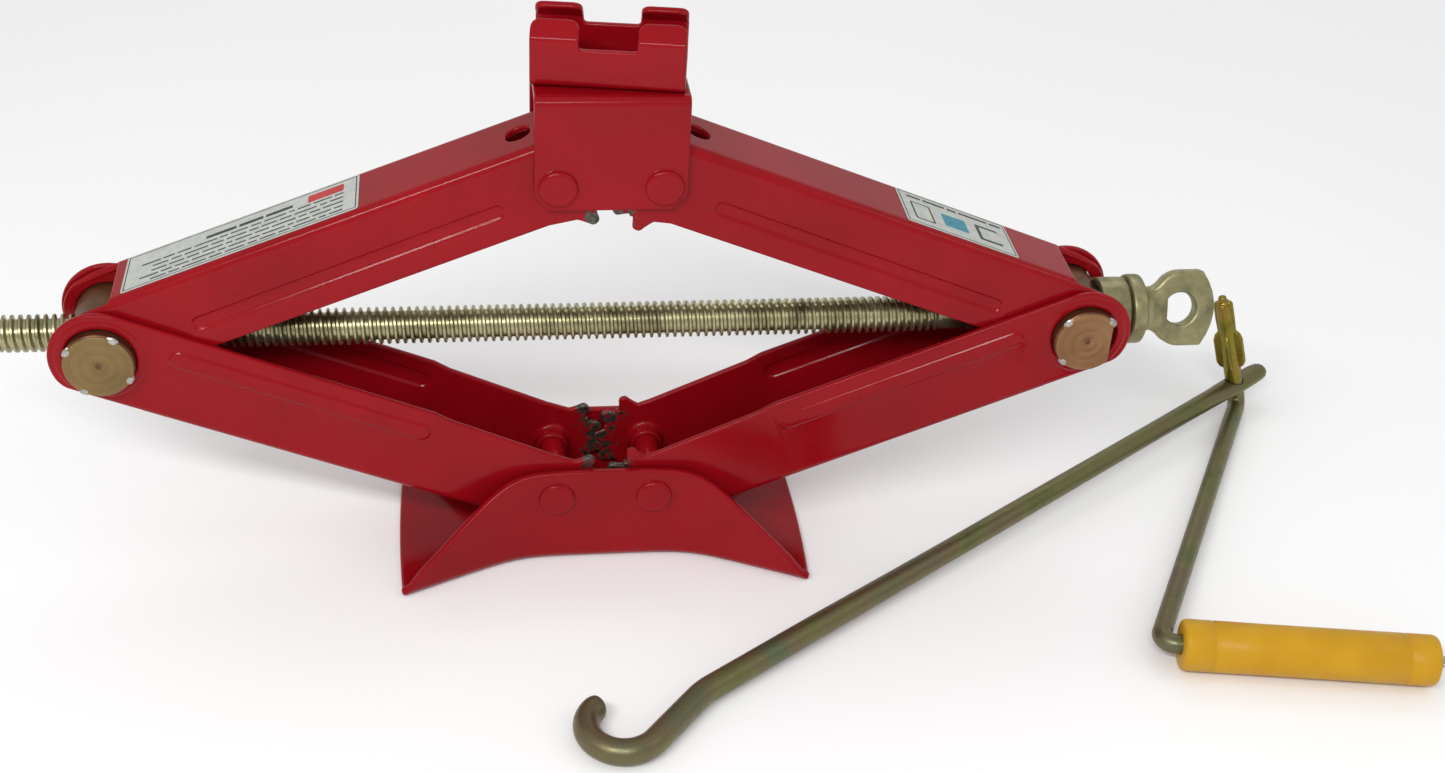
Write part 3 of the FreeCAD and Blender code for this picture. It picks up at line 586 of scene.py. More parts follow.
def gear_end(teeth):
    """The toothed end of a flange, clockwise from under the pivot."""
    points = []
    turn = 264
    while turn > max(teeth) + 16:
        points.append((GEAR_ROOT * math.cos(math.radians(turn)), GEAR_ROOT * math.sin(math.radians(turn)), 0))
        turn -= 7
    for direction in sorted(teeth, reverse=True):
        cosine, sine = math.cos(math.radians(direction)), math.sin(math.radians(direction))
        for out, across in TOOTH_LOOP:
            points.append((out * cosine - across * sine, out * sine + across * cosine, 0.6))
    return points


def arm_piece(level, side, matrix, half, web, web_ends, lip, ear, bead, ring, drain):
    """A channel arm.

    web(u) and lip are distances from the pivot line, bead is (start, stop, height, half width, rise,
    slope), ring is (radius, slope, rise) round the trunnion, and drain is (place, radius).
    """
    section = Section((half - BEND, 0), (BEND, math.pi / 2), (60, 0))
    flange_start = half - BEND + BEND * math.pi / 2

    def across(u, v):
        """Place across the flat pattern of a point v above the pivot line."""
        return flange_start + v + web(u) - BEND

    def above(u, s):
        return abs(s) - flange_start - web(u) + BEND

    def surface(u, s, depth):
        y, z = section.at(s, depth)
        return u, y, z - web(u)

    web_start, web_stop = web_ends
    flange = [(web_start, -web(0) + BEND, 1.0), (web_start - 1.6, -web(0) + BEND - 1.6, 1.5)]
    flange += gear_end(TEETH[side]) + lip
    ear_first = 90 if lip[-1][1] > ear - 1 else math.degrees(math.asin(lip[-1][1] / ear)) + 96
    turn = ear_first
    while turn > -72:
        flange.append((ARM + ear * math.cos(math.radians(turn)), ear * math.sin(math.radians(turn)), 0))
        turn -= 6
    bottom = -web(ARM) + 0.2
    flange += [(ARM - 2, bottom, 6), (web_stop, bottom, 2.5)]
    side_outline = [(u, across(u, v), r) for u, v, r in flange]
    outline = rounded(side_outline + [(u, -s, r) for u, s, r in reversed(side_outline)], 1.0)

    def flange_loop(points, sign):
        return [(u, sign * across(u, v)) for u, v in points]

    start, stop, height, wide, rise, slope = bead
    holes, loops = [], []
    for sign in (-1, 1):
        for hole in (ring_of((ARM, 0), PIN_HOLE, 64), ring_of((0, 0), RIVET_HOLE, 32)):
            loop = flange_loop(hole, sign)
            holes.append(loop if signed_area(loop) > 0 else loop[::-1])
        for i in range(6):
            loops.append(flange_loop(stadium((start, height), (stop, height), wide - slope * i / 5), sign))
        if ring:
            for i in range(5):
                loops.append(flange_loop(ring_of((ARM, 0), ring[0] - ring[1] * i / 4, 56), sign))
    if drain:
        holes.append(ring_of((drain[0], 0), drain[1], 36))

    def relief(u, s):
        if abs(s) < flange_start:
            return 0.0
        v = above(u, s)
        near = min(max(u, start), stop)
        lift = rise * smooth_step((wide - math.hypot(u - near, v - height)) / slope)
        if ring:
            lift += ring[2] * smooth_step((ring[0] - math.hypot(u - ARM, v)) / ring[1])
        return lift

    lines = section.fold_lines(-30, ARM + 30)
    lines += [[(u, -70), (u, 70)] for u in range(12, int(ARM), 14)]
    points, faces = sheet_metal(outline, surface, SHEET, 0.8, holes, loops, lines, relief)
    shape = Shape().add(points, faces, 0, matrix)
    inner = half - SHEET
    for sign in (-1, 1):
        place = Matrix.Translation((0, sign * inner, 0)) @ Matrix.Rotation(sign * math.pi / 2, 4, "Z")
        shape.add(*turned(BOSS, 40), 0, matrix @ place)
    inverse = matrix.inverted()
    bare = []
    for point in shape.points:
        spot = inverse @ point
        away = math.hypot(spot.x, spot.z)
        turn = math.degrees(math.atan2(spot.z, spot.x)) % 360
        share = 0.55 * smooth_step((away - 14.2) / 1.6)
        share *= smooth_step((turn - 92) / 14) * smooth_step((206 - turn) / 12)
        bare.append(share if spot.x < 8 else 0.0)
    red_piece(f"{level}_arm_{side}_looks", shape, f"{level}_{side}", [f"{level}_arm_{side}"], bare)


def arm_frame(pivot, trunnion, up):
    """Matrix of an arm: X along the arm, Z towards the channel's open side."""
    ahead = (trunnion - pivot).normalized()
    normal = Vector((-ahead.z, 0, ahead.x))
    if normal.z * up < 0:
        normal = -normal
    matrix = Matrix((ahead, normal.cross(ahead), normal)).transposed().to_4x4()
    matrix.translation = pivot
    return matrix


def upper_web(u):
    return UPPER_WEB + UPPER_WEB_RISE * u / UPPER_WEB_STOP


# The spacer drawn inwards round a rivet hole, as (along, radius).
BOSS = ((0.1, 8.6), (-0.2, 7.6), (-1.0, 6.7), (-2.4, 6.3), (-4.6, 6.2), (-5.2, 5.8), (-5.3, 5.2),
        (0.1, 5.15), (0.1, 8.6))
LOWER_LIP = [(8, 15.7, 3), (50, 17.4, 8), (57, 18.6, 5), (ARM - 4, 18.6, 0)]
UPPER_LIP = [(9, 14.3, 3), (ARM - 15.5, 12.9, 3)]
LOWER_BEAD = (59, 152, 9.4, 3.9, 0.9, 1.5)
UPPER_BEAD = (24, 140, 2.0, 3.3, -1.0, 1.5)
LOWER_RING = (16.6, 1.3, 0.6)
DRAIN = (7.9, 4.7)
arm_frames = {}
for side in ("left", "right"):
    lower = arm_frame(BASE_PIVOTS[side], TRUNNIONS[side], 1)
    upper = arm_frame(HEAD_PIVOTS[side], TRUNNIONS[side], -1)
    arm_frames[side] = upper
    arm_piece("lower", side, lower, 19.3, lambda u: 17.8, (4.0, ARM - 21.3), LOWER_LIP, 18.6,
              LOWER_BEAD, LOWER_RING, None)
    arm_piece("upper", side, upper, 16.1, upper_web, (0.5, UPPER_WEB_STOP), UPPER_LIP, 17.5,
              UPPER_BEAD, None, DRAIN)


# --- base -------------------------------------------------------------------------------------

BASE_HALF = -reach_of("base_rivet_left", 1, 0) - 1.7
BASE_LENGTH = 79.5
BASE_CORNER = reach_of("base_plate", 1, 1)
BASE_HEIGHT = reach_of("base_plate", 2, 1)
BASE_SHEET = 3.0
BASE_BEND = 4.2
WAIST = 34.0                    # half length of the straight middle of a wall
WAIST_SOFT = 5.0
WALL_SLOPE_START, WALL_SLOPE_RUN, WALL_FOOT = 36.4, 42.0, 3.4
FLARE = (BASE_CORNER - BASE_HALF) / (BASE_LENGTH - WAIST)


def base_half_width(x):
    return BASE_HALF + FLARE * WAIST_SOFT * math.log1p(math.exp((abs(x) - WAIST) / WAIST_SOFT))


def base_slope(x):
    return math.copysign(FLARE / (1 + math.exp(-(abs(x) - WAIST) / WAIST_SOFT)), x)


def base_wall_height(x):
    soft = 4.2
    slope = BASE_HEIGHT - (abs(x) - WALL_SLOPE_START) * (BASE_HEIGHT - WALL_FOOT) / WALL_SLOPE_RUN
    return -soft * math.log(math.exp(-BASE_HEIGHT / soft) + math.exp(-slope / soft))


def base_plate():
    web = BASE_HALF - BASE_BEND
    arc = BASE_BEND * math.pi / 2

    def surface(x, s, depth):
        side, along = math.copysign(1, s), abs(s)
        half = base_half_width(x)
        slope = base_slope(x)
        lean = 1 / math.hypot(1, slope)
        if along <= web:
            return x, side * along / web * (half - BASE_BEND), depth
        turn = min((along - web) / BASE_BEND, math.pi / 2)
        y = half - BASE_BEND + BASE_BEND * math.sin(turn)
        z = BASE_BEND * (1 - math.cos(turn)) + max(0.0, along - web - arc)
        inward = depth * math.sin(turn)
        return x + inward * slope * lean, side * (y - inward * lean), z + depth * math.cos(turn)

    top = []
    x = -(BASE_LENGTH - 8.0)
    while x <= BASE_LENGTH - 7.9:
        top.append((x, web + arc + base_wall_height(x) - BASE_BEND, 0))
        x += 2.5
    foot = (BASE_LENGTH - 0.4, web + arc * 0.5, 4)

    def tip(s):
        return BASE_LENGTH + 1.2 * (1 - (s / web) ** 2)

    ends = [s * web / 4 for s in range(-3, 4)]
    outline = [(-foot[0], *foot[1:])] + top + [foot]
    outline += [(tip(s), s, 0) for s in reversed(ends)]
    outline += [(foot[0], -foot[1], foot[2])] + [(x, -s, r) for x, s, r in reversed(top)]
    outline += [(-foot[0], -foot[1], foot[2])] + [(-tip(s), s, 0) for s in ends]
    holes = []
    for pivot in BASE_PIVOTS.values():
        for sign in (-1, 1):
            middle = (pivot.x, sign * (web + arc + pivot.z - BASE_BEND))
            holes.append(ring_of(middle, RIVET_HOLE, 32))
    places = [web - 1] + [web + arc * i / 6 for i in range(7)] + [web + arc + 1]
    lines = [[(-90, sign * s), (90, sign * s)] for s in places for sign in (-1, 1)]
    lines += [[(x, -90), (x, 90)] for x in range(-76, 77, 4)]
    lines += [[(-90, 0), (90, 0)]]
    points, faces = sheet_metal(rounded(outline, 1), surface, BASE_SHEET, 0.9, holes, [], lines)
    red_piece("base_plate_looks", Shape().add(points, faces), "base", ["base_plate"])


base_plate()


# --- rivets -----------------------------------------------------------------------------------

RIVET_HEAD, RIVET_RISE, RIVET_SHANK = 7.1, 1.7, 5.0


def rivet(name, body, node, centre, half):
    """A rivet along Y through walls whose outer faces are half away from its middle."""
    rim, top = RIVET_HEAD, half + RIVET_RISE
    head = [(half - 0.02, RIVET_SHANK), (half - 0.02, rim + 0.25), (half + 0.12, rim + 0.05),
            (half + 0.35, rim - 0.05), (half + RIVET_RISE * 0.45, rim - 0.12),
            (half + RIVET_RISE * 0.8, rim - 0.45), (half + RIVET_RISE * 0.97, rim - 1.1),
            (top, rim - 2.0), (top - 0.08, 0)]
    profile = [(-along, radius) for along, radius in reversed(head)] + head
    place = Matrix.Translation(centre) @ Matrix.Rotation(math.pi / 2, 4, "Z")
    red_piece(name, Shape().add(*turned(profile, 56), 0, place), body, [node])


HEAD_HALF = 19.0
for side in ("left", "right"):
    rivet(f"base_rivet_{side}_looks", "base", f"base_rivet_{side}", BASE_PIVOTS[side], BASE_HALF)
    rivet(f"head_rivet_{side}_looks", "head", f"head_rivet_{side}", HEAD_PIVOTS[side], HEAD_HALF)


# --- head bracket and saddle ------------------------------------------------------------------

SADDLE_RIVET_HOLE = 4.1
SADDLE_TURN = -8                # degrees

def four_way(quarter):
    """A whole outline from the corners in its first quarter."""
    back = quarter[::-1]
    return (quarter + [(-x, s, r) for x, s, r in back] + [(-x, -s, r) for x, s, r in quarter]
            + [(x, -s, r) for x, s, r in back])


def head_bracket():
    half, length, tall, bend, cut = HEAD_HALF, 27.5, 44.0, 3.2, 5.5
    section = Section((half - bend, 0), (bend, math.pi / 2), (60, 0))
    end = half - bend + bend * math.pi / 2 + tall - bend
    outline = rounded(four_way([(length, end - cut, 3), (length - cut, end, 3)]), 2)
    low = end - (HEAD_PIVOTS["left"].z - HEAD_TOP + tall)
    holes = [ring_of((x, sign * low), RIVET_HOLE, 32) for x in (-19, 19) for sign in (-1, 1)]
    holes.append(ring_of((0, 0), SADDLE_RIVET_HOLE, 32))
    lines = section.fold_lines(-40, 40) + [[(x, -90), (x, 90)] for x in range(-22, 23, 11)]
    points, faces = sheet_metal(outline, section.surface, SHEET, 0.8, holes, [], lines)
    matrix = Matrix.Translation((0, 0, HEAD_TOP)) @ Matrix.Rotation(math.pi, 4, "X")
    red_piece("head_bracket_looks", Shape().add(points, faces, 0, matrix), "head", ["head_bracket"])


def saddle():
    half, length, bend, top_bend = 13.4, 27.2, 3.0, 2.4
    bend_height, tab_lean = 18.2, 5.6
    cut_back = top_bend * math.tan(math.pi / 8)
    wall, tab = bend_height - bend - cut_back, tab_lean * math.sqrt(2) - cut_back
    section = Section((half - bend, 0), (bend, math.pi / 2), (wall, 0), (top_bend, math.pi / 4), (tab, 0))
    end = section.length
    notch, notch_height = 10.1, 14.6
    notch_floor = half - bend + bend * math.pi / 2 + notch_height - bend
    quarter = [(length, end, 4.0), (notch + 0.3, end, 4.0), (notch, notch_floor, 1.6)]
    outline = rounded(four_way(quarter), 2)
    lines = section.fold_lines(-40, 40) + [[(x, -90), (x, 90)] for x in (-21, -15, 15, 21)]
    holes = [ring_of((0, 0), SADDLE_RIVET_HOLE, 32)]
    points, faces = sheet_metal(outline, section.surface, SHEET, 0.8, holes, [], lines)
    matrix = Matrix.Translation((0, 0, SADDLE_FOOT)) @ Matrix.Rotation(math.radians(SADDLE_TURN), 4, "Z")
    red_piece("saddle_looks", Shape().add(points, faces, 0, matrix), "saddle", ["saddle"])


def saddle_rivet():
    low, high = reach_of("saddle_rivet", 2, 0), reach_of("saddle_rivet", 2, 1)
    head = 1.9
    profile = [(low, 0), (low, 5.0), (low + 0.3, 6.0), (low + 1.0, 6.8), (low + head, 7.0), (low + head, 4.0),
               (high - head, 4.0), (high - head, 7.0), (high - 1.1, 6.8), (high - 0.4, 6.1), (high, 4.6),
               (high - 0.2, 3.4), (high - 0.5, 2.6), (high - 0.55, 0)]
    shape = Shape().add(*turned(profile, 48), 0, Matrix.Rotation(-math.pi / 2, 4, "Y"))
    red_piece("saddle_rivet_looks", shape, "head", ["saddle_rivet"], [0.3] * len(shape.points))


head_bracket()
saddle()
saddle_rivet()


# --- trunnion faces ---------------------------------------------------------------------------

PIN_FACE = 24.45                # how far a trunnion's end face stands from the middle plane
PIN_RADIUS = 12.55
STAKE = ((0.0, 0.0), (0.0, 1.1), (-0.4, 2.0), (-1.2, 2.4), (-1.7, 0))


def pin_relief(u, s):
    """Centre mark and turned rings."""
    away = math.hypot(u, s)
    dimple = -0.7 * smooth_step((2.2 - away) / 1.6) + 0.28 * smooth_step(1 - abs(away - 2.8) / 0.7)
    ridge = 0.12 * smooth_step(1 - abs(away - 6.2) / 0.6)
    return dimple + ridge - 0.1 * smooth_step(1 - abs(away - 8.7) / 0.5)


def pin_cap(name, body, centre, sign, flat, stakes, material):
    """The turned end of a trunnion, with its centre mark and the places where it was staked."""
    outline = ring_of((0, 0), PIN_RADIUS, 64)
    if flat:
        limit = math.acos((flat - 0.15) / PIN_RADIUS)
        turns = [limit + (TAU - 2 * limit) * i / 60 for i in range(61)]
        outline = [(PIN_RADIUS * math.cos(a), PIN_RADIUS * math.sin(a)) for a in turns]
    loops = [ring_of((0, 0), r, 36) for r in (0.7, 1.5, 2.2, 2.8, 3.4, 5.6, 6.2, 6.8, 8.4, 9.0)]
    lines = [[(-1.5, 0), (1.5, 0)], [(0, -1.5), (0, 1.5)]]
    points, faces = sheet_metal(outline, lambda u, s, deep: (u, sign * (PIN_FACE - deep), s), 0.9, 0.3, [],
                                loops, lines, pin_relief)
    shape = Shape().add(points, faces, 0, Matrix.Translation(centre))
    for hour in stakes:
        turn = math.radians(90 - 30 * hour)
        spot = Vector((11.9 * math.cos(turn), sign * (PIN_FACE + 0.05), 11.9 * math.sin(turn)))
        place = Matrix.Translation(centre + spot) @ Matrix.Rotation(-turn, 4, "Y")
        place = place @ Matrix.Rotation(sign * math.pi / 2, 4, "Z") @ Matrix.Diagonal((0.6, 0.7, 1.1, 1))
        shape.add(*turned(STAKE, 7, turn), 1, place)
    finish_piece(name, shape, body, [], [material, BRIGHT_STEEL])


LEFT_PIN = pin_face("left_pin", ((96, 76, 45), (138, 114, 75)), TRUNNIONS["left"] * MM)
RIGHT_PIN = pin_face("right_pin", ((112, 78, 52), (152, 114, 80)), TRUNNIONS["right"] * MM)
for sign, end in ((-1, "front"), (1, "rear")):
    pin_cap(f"nut_pin_{end}", "nut", TRUNNIONS["left"], sign, None, (10, 1, 4, 7), LEFT_PIN)
    pin_cap(f"thrust_pin_{end}", "thrust", TRUNNIONS["right"], sign, 9.3, (10.5, 1.5, 7.5), RIGHT_PIN)


# --- lead screw, bearing and eye --------------------------------------------------------------

SCREW_START = reach_of("lead_screw", 0, 0)
THREAD_END = 131.0
PITCH = 3.0
MAJOR, MINOR, SHANK = 7.0, 5.35, 6.3
# One turn of the thread's profile, as (share of the pitch, radius).
THREAD = ((0.0, MINOR), (0.33, MINOR), (0.38, 5.6), (0.48, 6.8), (0.53, MAJOR), (0.78, MAJOR), (0.83, 6.8),
          (0.94, 5.6))
SCREW_SIDES = 40


def lead_screw():
    points, faces = [], []
    turns = math.ceil((THREAD_END - SCREW_START) / PITCH) + 2
    count = turns * SCREW_SIDES
    size = len(THREAD)
    for i in range(count + 1):
        turn = TAU * i / SCREW_SIDES
        start = SCREW_START - PITCH + PITCH * i / SCREW_SIDES
        for share, radius in THREAD:
            x = min(max(start + share * PITCH, SCREW_START), THREAD_END)
            radius = min(radius, MINOR - 0.2 + (x - SCREW_START) * 1.15)
            blend = smooth_step((x - THREAD_END + 5) / 5)
            radius = radius * (1 - blend) + SHANK * blend
            points.append((x, radius * math.cos(turn), radius * math.sin(turn)))
    for i in range(count):
        for k in range(size - 1):
            a = i * size + k
            faces.append((a, a + 1, a + size + 1, a + size))
        if i + SCREW_SIDES < count:
            a = i * size + size - 1
            b = (i + SCREW_SIDES) * size
            faces.append((a, b, b + size, a + size))
    shape = Shape().add(points, faces)
    shape.add(*turned([(SCREW_START, 0), (SCREW_START, MINOR - 0.2)], SCREW_SIDES))
    last = TRUNNIONS["right"].x + 31
    shape.add(*turned([(THREAD_END, SHANK), (last, SHANK), (last, 0)], SCREW_SIDES))
    shape.points = [point + Vector((0, 0, SCREW_AXIS_Z)) for point in shape.points]
    finish_piece("lead_screw_looks", shape, "screw", ["lead_screw"], [SCREW_ZINC],
                 weld=2e-3, sharp=38)


def screw_eye():
    """The thrust collar and the forged eye, tilted as it stopped."""
    place = Matrix.Translation(TRUNNIONS["right"]) @ Matrix.Rotation(math.radians(70), 4, "X")
    collar = [(21.6, 6.3), (21.6, 12.9), (21.9, 13.5), (22.6, 13.7), (26.2, 13.7), (26.9, 13.5), (27.3, 12.9),
              (27.5, 11.6), (28.2, 10.2), (29.4, 9.2), (30.8, 8.7), (30.8, 0)]
    shape = Shape().add(*turned(collar, 64), 0, place)
    rings, turns = [], [TAU * i / 48 for i in range(48)]
    for along, tall, thick in ((28.0, 10.2, 10.2), (29.5, 9.0, 8.9), (31.0, 8.6, 7.8), (33.0, 9.0, 6.2),
                               (35.0, 10.4, 4.8), (37.0, 11.8, 3.9), (38.6, 12.4, 3.2)):
        rings.append([(along, tall * math.cos(a), thick * math.sin(a)) for a in turns])
    shape.add(*joined(rings), 0, place)
    half = [(31.0, 7.6, 2), (34.6, 9.4, 8), (37.4, 13.0, 8), (41.8, 15.0, 8), (52.8, 15.0, 1.4),
            (55.4, 10.8, 12), (57.2, 6.4, 12), (58.0, 2.2, 12)]
    outline = rounded(half + [(u, -v, r) for u, v, r in reversed(half)], 2)
    eye = (44.0, 0.0)
    loops = [ring_of(eye, r, 48) for r in (8.4, 9.2, 10.2)]
    half_thick = 3.3
    points, faces = sheet_metal(outline, lambda u, s, depth: (u, s, half_thick - depth), 2 * half_thick, 1.2,
                                [ring_of(eye, 6.5, 48)], loops)
    shape.add(points, faces, 0, place)
    finish_piece("screw_eye_looks", shape, "screw", ["screw_eye"], [EYE_ZINC], sharp=60)


def bearing_shell():
    profile = [(9.7, 11.6), (9.7, 12.3), (9.9, 12.65), (10.4, 12.75), (18.6, 12.75), (20.2, 12.6),
               (21.0, 12.2), (21.45, 11.4), (21.5, 6.35), (20.2, 6.35), (20.2, 11.4), (19.6, 11.6),
               (9.7, 11.6)]
    shape = Shape().add(*turned(profile, 64), 0, Matrix.Translation(TRUNNIONS["right"]))
    finish_piece("bearing_shell_looks", shape, "screw", ["bearing_shell"], [EYE_ZINC])


lead_screw()
screw_eye()
bearing_shell()


# --- stickers ---------------------------------------------------------------------------------

WEB_TILT = math.atan2(UPPER_WEB_RISE, UPPER_WEB_STOP)
LABEL_HALF = 12.8
PRINT_LIFT = 0.29               # printed patches stand this far off the web


def sticker(name, side, place, length, rows, marks):
    """A paper label on an upper arm's web with generic printed rows and marks."""
    tall = LABEL_HALF
    matrix = arm_frames[side] @ Matrix.Translation((place, 0, -upper_web(place)))
    matrix = matrix @ Matrix.Rotation(WEB_TILT, 4, "Y")
    shape = Shape()

    def patch(x0, x1, y0, y1, lift, thick, slot, corner=0.4):
        outline = rounded([(x0, y0), (x1, y0), (x1, y1), (x0, y1)], corner)
        rounding = min(0.05, thick / 3)
        points, faces = sheet_metal(outline, lambda u, s, depth: (u, s, depth - lift), thick, rounding)
        shape.add(points, faces, slot, matrix)

    patch(0, length, -tall, tall, 0.26, 0.24, 0, 1.2)
    edge = 0.45
    for x0, x1, y0, y1 in ((0.8, length - 0.8, -tall + 0.8, -tall + 0.8 + edge),
                           (0.8, length - 0.8, tall - 0.8 - edge, tall - 0.8),
                           (0.8, 0.8 + edge, -tall + 0.8, tall - 0.8),
                           (length - 0.8 - edge, length - 0.8, -tall + 0.8, tall - 0.8)):
        patch(x0, x1, y0, y1, PRINT_LIFT, 0.06, 1, 0.05)
    for x0, y0, widths, thick in rows:
        x = x0
        for wide in widths:
            patch(x, x + wide, y0 - thick / 2, y0 + thick / 2, PRINT_LIFT, 0.06, 1, 0.1)
            x += wide + 1.1
    for x0, x1, y0, y1, slot in marks:
        patch(x0, x1, y0, y1, PRINT_LIFT + (0 if slot else 0.02), 0.06, slot, 0.8)
    finish_piece(name, shape, f"upper_{side}", [f"label_{side}"], [PAPER, INK, RED_INK, BLUE_INK])


# Lengths of the plain bars that stand for printed lines.
TEXT = ((3.4, 7.2, 5.1, 2.3, 8.6, 4.2, 6.8, 3.1, 9.0, 5.6, 4.4, 7.4),
        (5.2, 2.8, 8.8, 4.6, 6.1, 3.7, 7.7, 5.0, 9.4, 4.1, 6.2),
        (7.7, 4.1, 3.2, 9.3, 5.5, 6.6, 2.6, 8.1, 4.9, 5.8, 6.0))
# Which way along an arm's own Y the front edge of its web lies.
front = {side: -1 if arm_frames[side].col[1].y > 0 else 1 for side in arm_frames}
left_rows = [(26, -front["left"] * 6.4, (10.5, 9.5, 12.0), 2.0)]
left_rows += [(6, front["left"] * y, TEXT[i % 3], 0.95) for i, y in enumerate((-2.8, 0.4, 3.6, 6.8, 9.8))]
sticker("label_left_looks", "left", 69.0, 92.0, left_rows,
        [(6, 20, *sorted((-front["left"] * 4.6, -front["left"] * 9.8)), 2)])
right_rows = [(4, -front["right"] * 9.0, (6.0, 9.5, 4.0, 12.5, 5.0), 1.5)]
sticker("label_right_looks", "right", 92.0, 48.0, right_rows,
        [(4.5, 13, *sorted((front["right"] * 8.4, -front["right"] * 5.0)), 1),
         (5.3, 12.2, *sorted((front["right"] * 7.6, -front["right"] * 4.2)), 0),
         (17.5, 28, *sorted((front["right"] * 6.4, -front["right"] * 3.4)), 3),
         (32.5, 42.5, *sorted((front["right"] * 7.6, -front["right"] * 4.2)), 1),
         (34.0, 42.8, *sorted((front["right"] * 6.0, -front["right"] * 2.6)), 0)])


# --- handle -----------------------------------------------------------------------------------

ELBOW = Vector((295.2, 67.0, 3.8))
STUB_TIP = Vector((276.8, 67.0, 60.9))
CORNER = Vector((203.5, -100.2, 9.8))
SPINDLE_END = Vector((311.5, -118.2, 9.8))
GRIP_START = 8.5                # from the crank's corner
STUB_WAY = (STUB_TIP - ELBOW).normalized()
STUB_START = 17                 # the bright stub starts at this height
HOOK_ROD = 4.3                  # the hook rod's radius where it rests on the floor
LUG_HOLE = 4.15
LUG = ELBOW + STUB_WAY * 10.6
HOOK_FRAME = (Matrix.Translation(LUG) @ Matrix.Rotation(math.radians(214.16), 4, "Z")
              @ Matrix.Rotation(math.radians(1.45), 4, "Y"))


def curved(points, radii, step=3.0):
    """Points along straight runs joined by arcs."""
    result = [points[0]]

    def run_to(stop):
        start = result[-1]
        count = max(1, round((stop - start).length / step))
        for i in range(1, count + 1):
            result.append(start.lerp(stop, i / count))

    for corner, radius, following in zip(points[1:-1], radii, points[2:]):
        back, ahead = (result[-1] - corner).normalized(), (following - corner).normalized()
        half = back.angle(ahead) / 2
        reach = radius / math.tan(half)
        run_to(corner + back * reach)
        middle = corner + (back + ahead).normalized() * radius / math.sin(half)
        first, last = result[-1] - middle, corner + ahead * reach - middle
        whole = first.angle(last)
        steps = max(4, math.ceil(whole / math.radians(9)))
        turn = first.rotation_difference(last)
        for i in range(1, steps + 1):
            part = turn.copy()
            part.angle = whole * i / steps
            result.append(middle + part @ first)
    run_to(points[-1])
    return result


def oval(half_side, half_up, count=28):
    """Points round an ellipse."""
    turns = [TAU * i / count for i in range(count)]
    return [(half_side * math.cos(a), half_up * math.sin(a)) for a in turns]


def along_path(path):
    """Distance travelled at each point of a path."""
    places = [0.0]
    for a, b in zip(path, path[1:]):
        places.append(places[-1] + (b - a).length)
    return places


def between(value, table):
    """Smooth lookup in a table of (place, *numbers)."""
    for low, high in zip(table, table[1:]):
        if value <= high[0]:
            share = smooth_step((value - low[0]) / (high[0] - low[0]))
            return [a + (b - a) * share for a, b in zip(low[1:], high[1:])]
    return list(table[-1][1:])


def refined(path, cuts):
    """A path with extra points at some distances along it, and the distance of every point."""
    places = along_path(path)
    fine, fine_places = [path[0]], [0.0]
    for a, b, start, end in zip(path, path[1:], places, places[1:]):
        for cut in sorted(cut for cut in cuts if start < cut < end):
            fine.append(a.lerp(b, (cut - start) / (end - start)))
            fine_places.append(cut)
        fine.append(b)
        fine_places.append(end)
    return fine, fine_places


def hook_rod():
    radius, centre = 13.5, Vector((350.5, -5.0, 0))
    bend = Vector((318.0, 0, 0))
    away = centre - bend
    heading = math.atan2(away.y, away.x) + math.asin(radius / away.length)
    touch = centre + Vector((-math.sin(heading), math.cos(heading), 0)) * radius
    path = curved([Vector((-21.0, 0, 0)), bend, touch], [30.0])
    stop = math.radians(-85)
    steps = 26
    for i in range(1, steps + 1):
        turn = heading + math.pi / 2 + (stop - heading - math.pi / 2) * i / steps
        path.append(centre + Vector((math.cos(turn), math.sin(turn), 0)) * radius)
    total = along_path(path)[-1]
    # (distance along the rod, half width, half thickness)
    sizes = ((0.0, 0.9, 0.8), (0.5, 2.2, 1.9), (1.6, 3.4, 2.8), (3.4, 4.3, 3.3), (6.5, 4.7, 3.4),
             (12.0, 5.0, 3.3), (21.0, 5.3, 3.2), (28.0, 5.0, 3.4), (40.0, 4.3, 3.9), (70.0, 4.05, 4.05),
             (200.0, 4.3, 4.3), (300.0, 4.7, 4.7), (total - 2.2, 4.85, 4.8), (total - 0.9, 4.6, 4.55),
             (total, 3.7, 3.6))
    cuts = [0.5, 1.0, 1.6, 2.4] + [total - d for d in (0.3, 0.9, 1.5)]
    fine, places = refined(path, cuts)
    lifted = [p + Vector((0, 0, max(0.0, between(d, sizes)[1] - HOOK_ROD))) for p, d in zip(fine, places)]
    shape = Shape().add(*swept(lifted, lambda i: oval(*between(places[i], sizes))), 0, HOOK_FRAME)
    piece = finish_piece("hook_rod_looks", shape, "handle", ["hook_rod"], [ROD_ZINC])
    drill = bpy.data.meshes.new("drill")
    drill_shape = Shape().add(*turned([(-12, 0), (-12, LUG_HOLE), (12, LUG_HOLE), (12, 0)], 40), 0,
                              frame_matrix(LUG, STUB_WAY, Vector((0, 1, 0))))
    drill.from_pydata([p * MM for p in drill_shape.points], [], drill_shape.faces)
    cutter = bpy.data.objects.new("drill", drill)
    bpy.context.scene.collection.objects.link(cutter)
    cut = piece.modifiers.new("hole", "BOOLEAN")
    cut.object = cutter
    cut.operation = "DIFFERENCE"
    cut.solver = "EXACT"
    bpy.context.view_layer.update()
    done = bpy.data.meshes.new_from_object(piece.evaluated_get(bpy.context.evaluated_depsgraph_get()))
    piece.modifiers.clear()
    piece.data = done
    done.materials.clear()
    done.materials.append(ROD_ZINC)
    bpy.data.objects.remove(cutter)


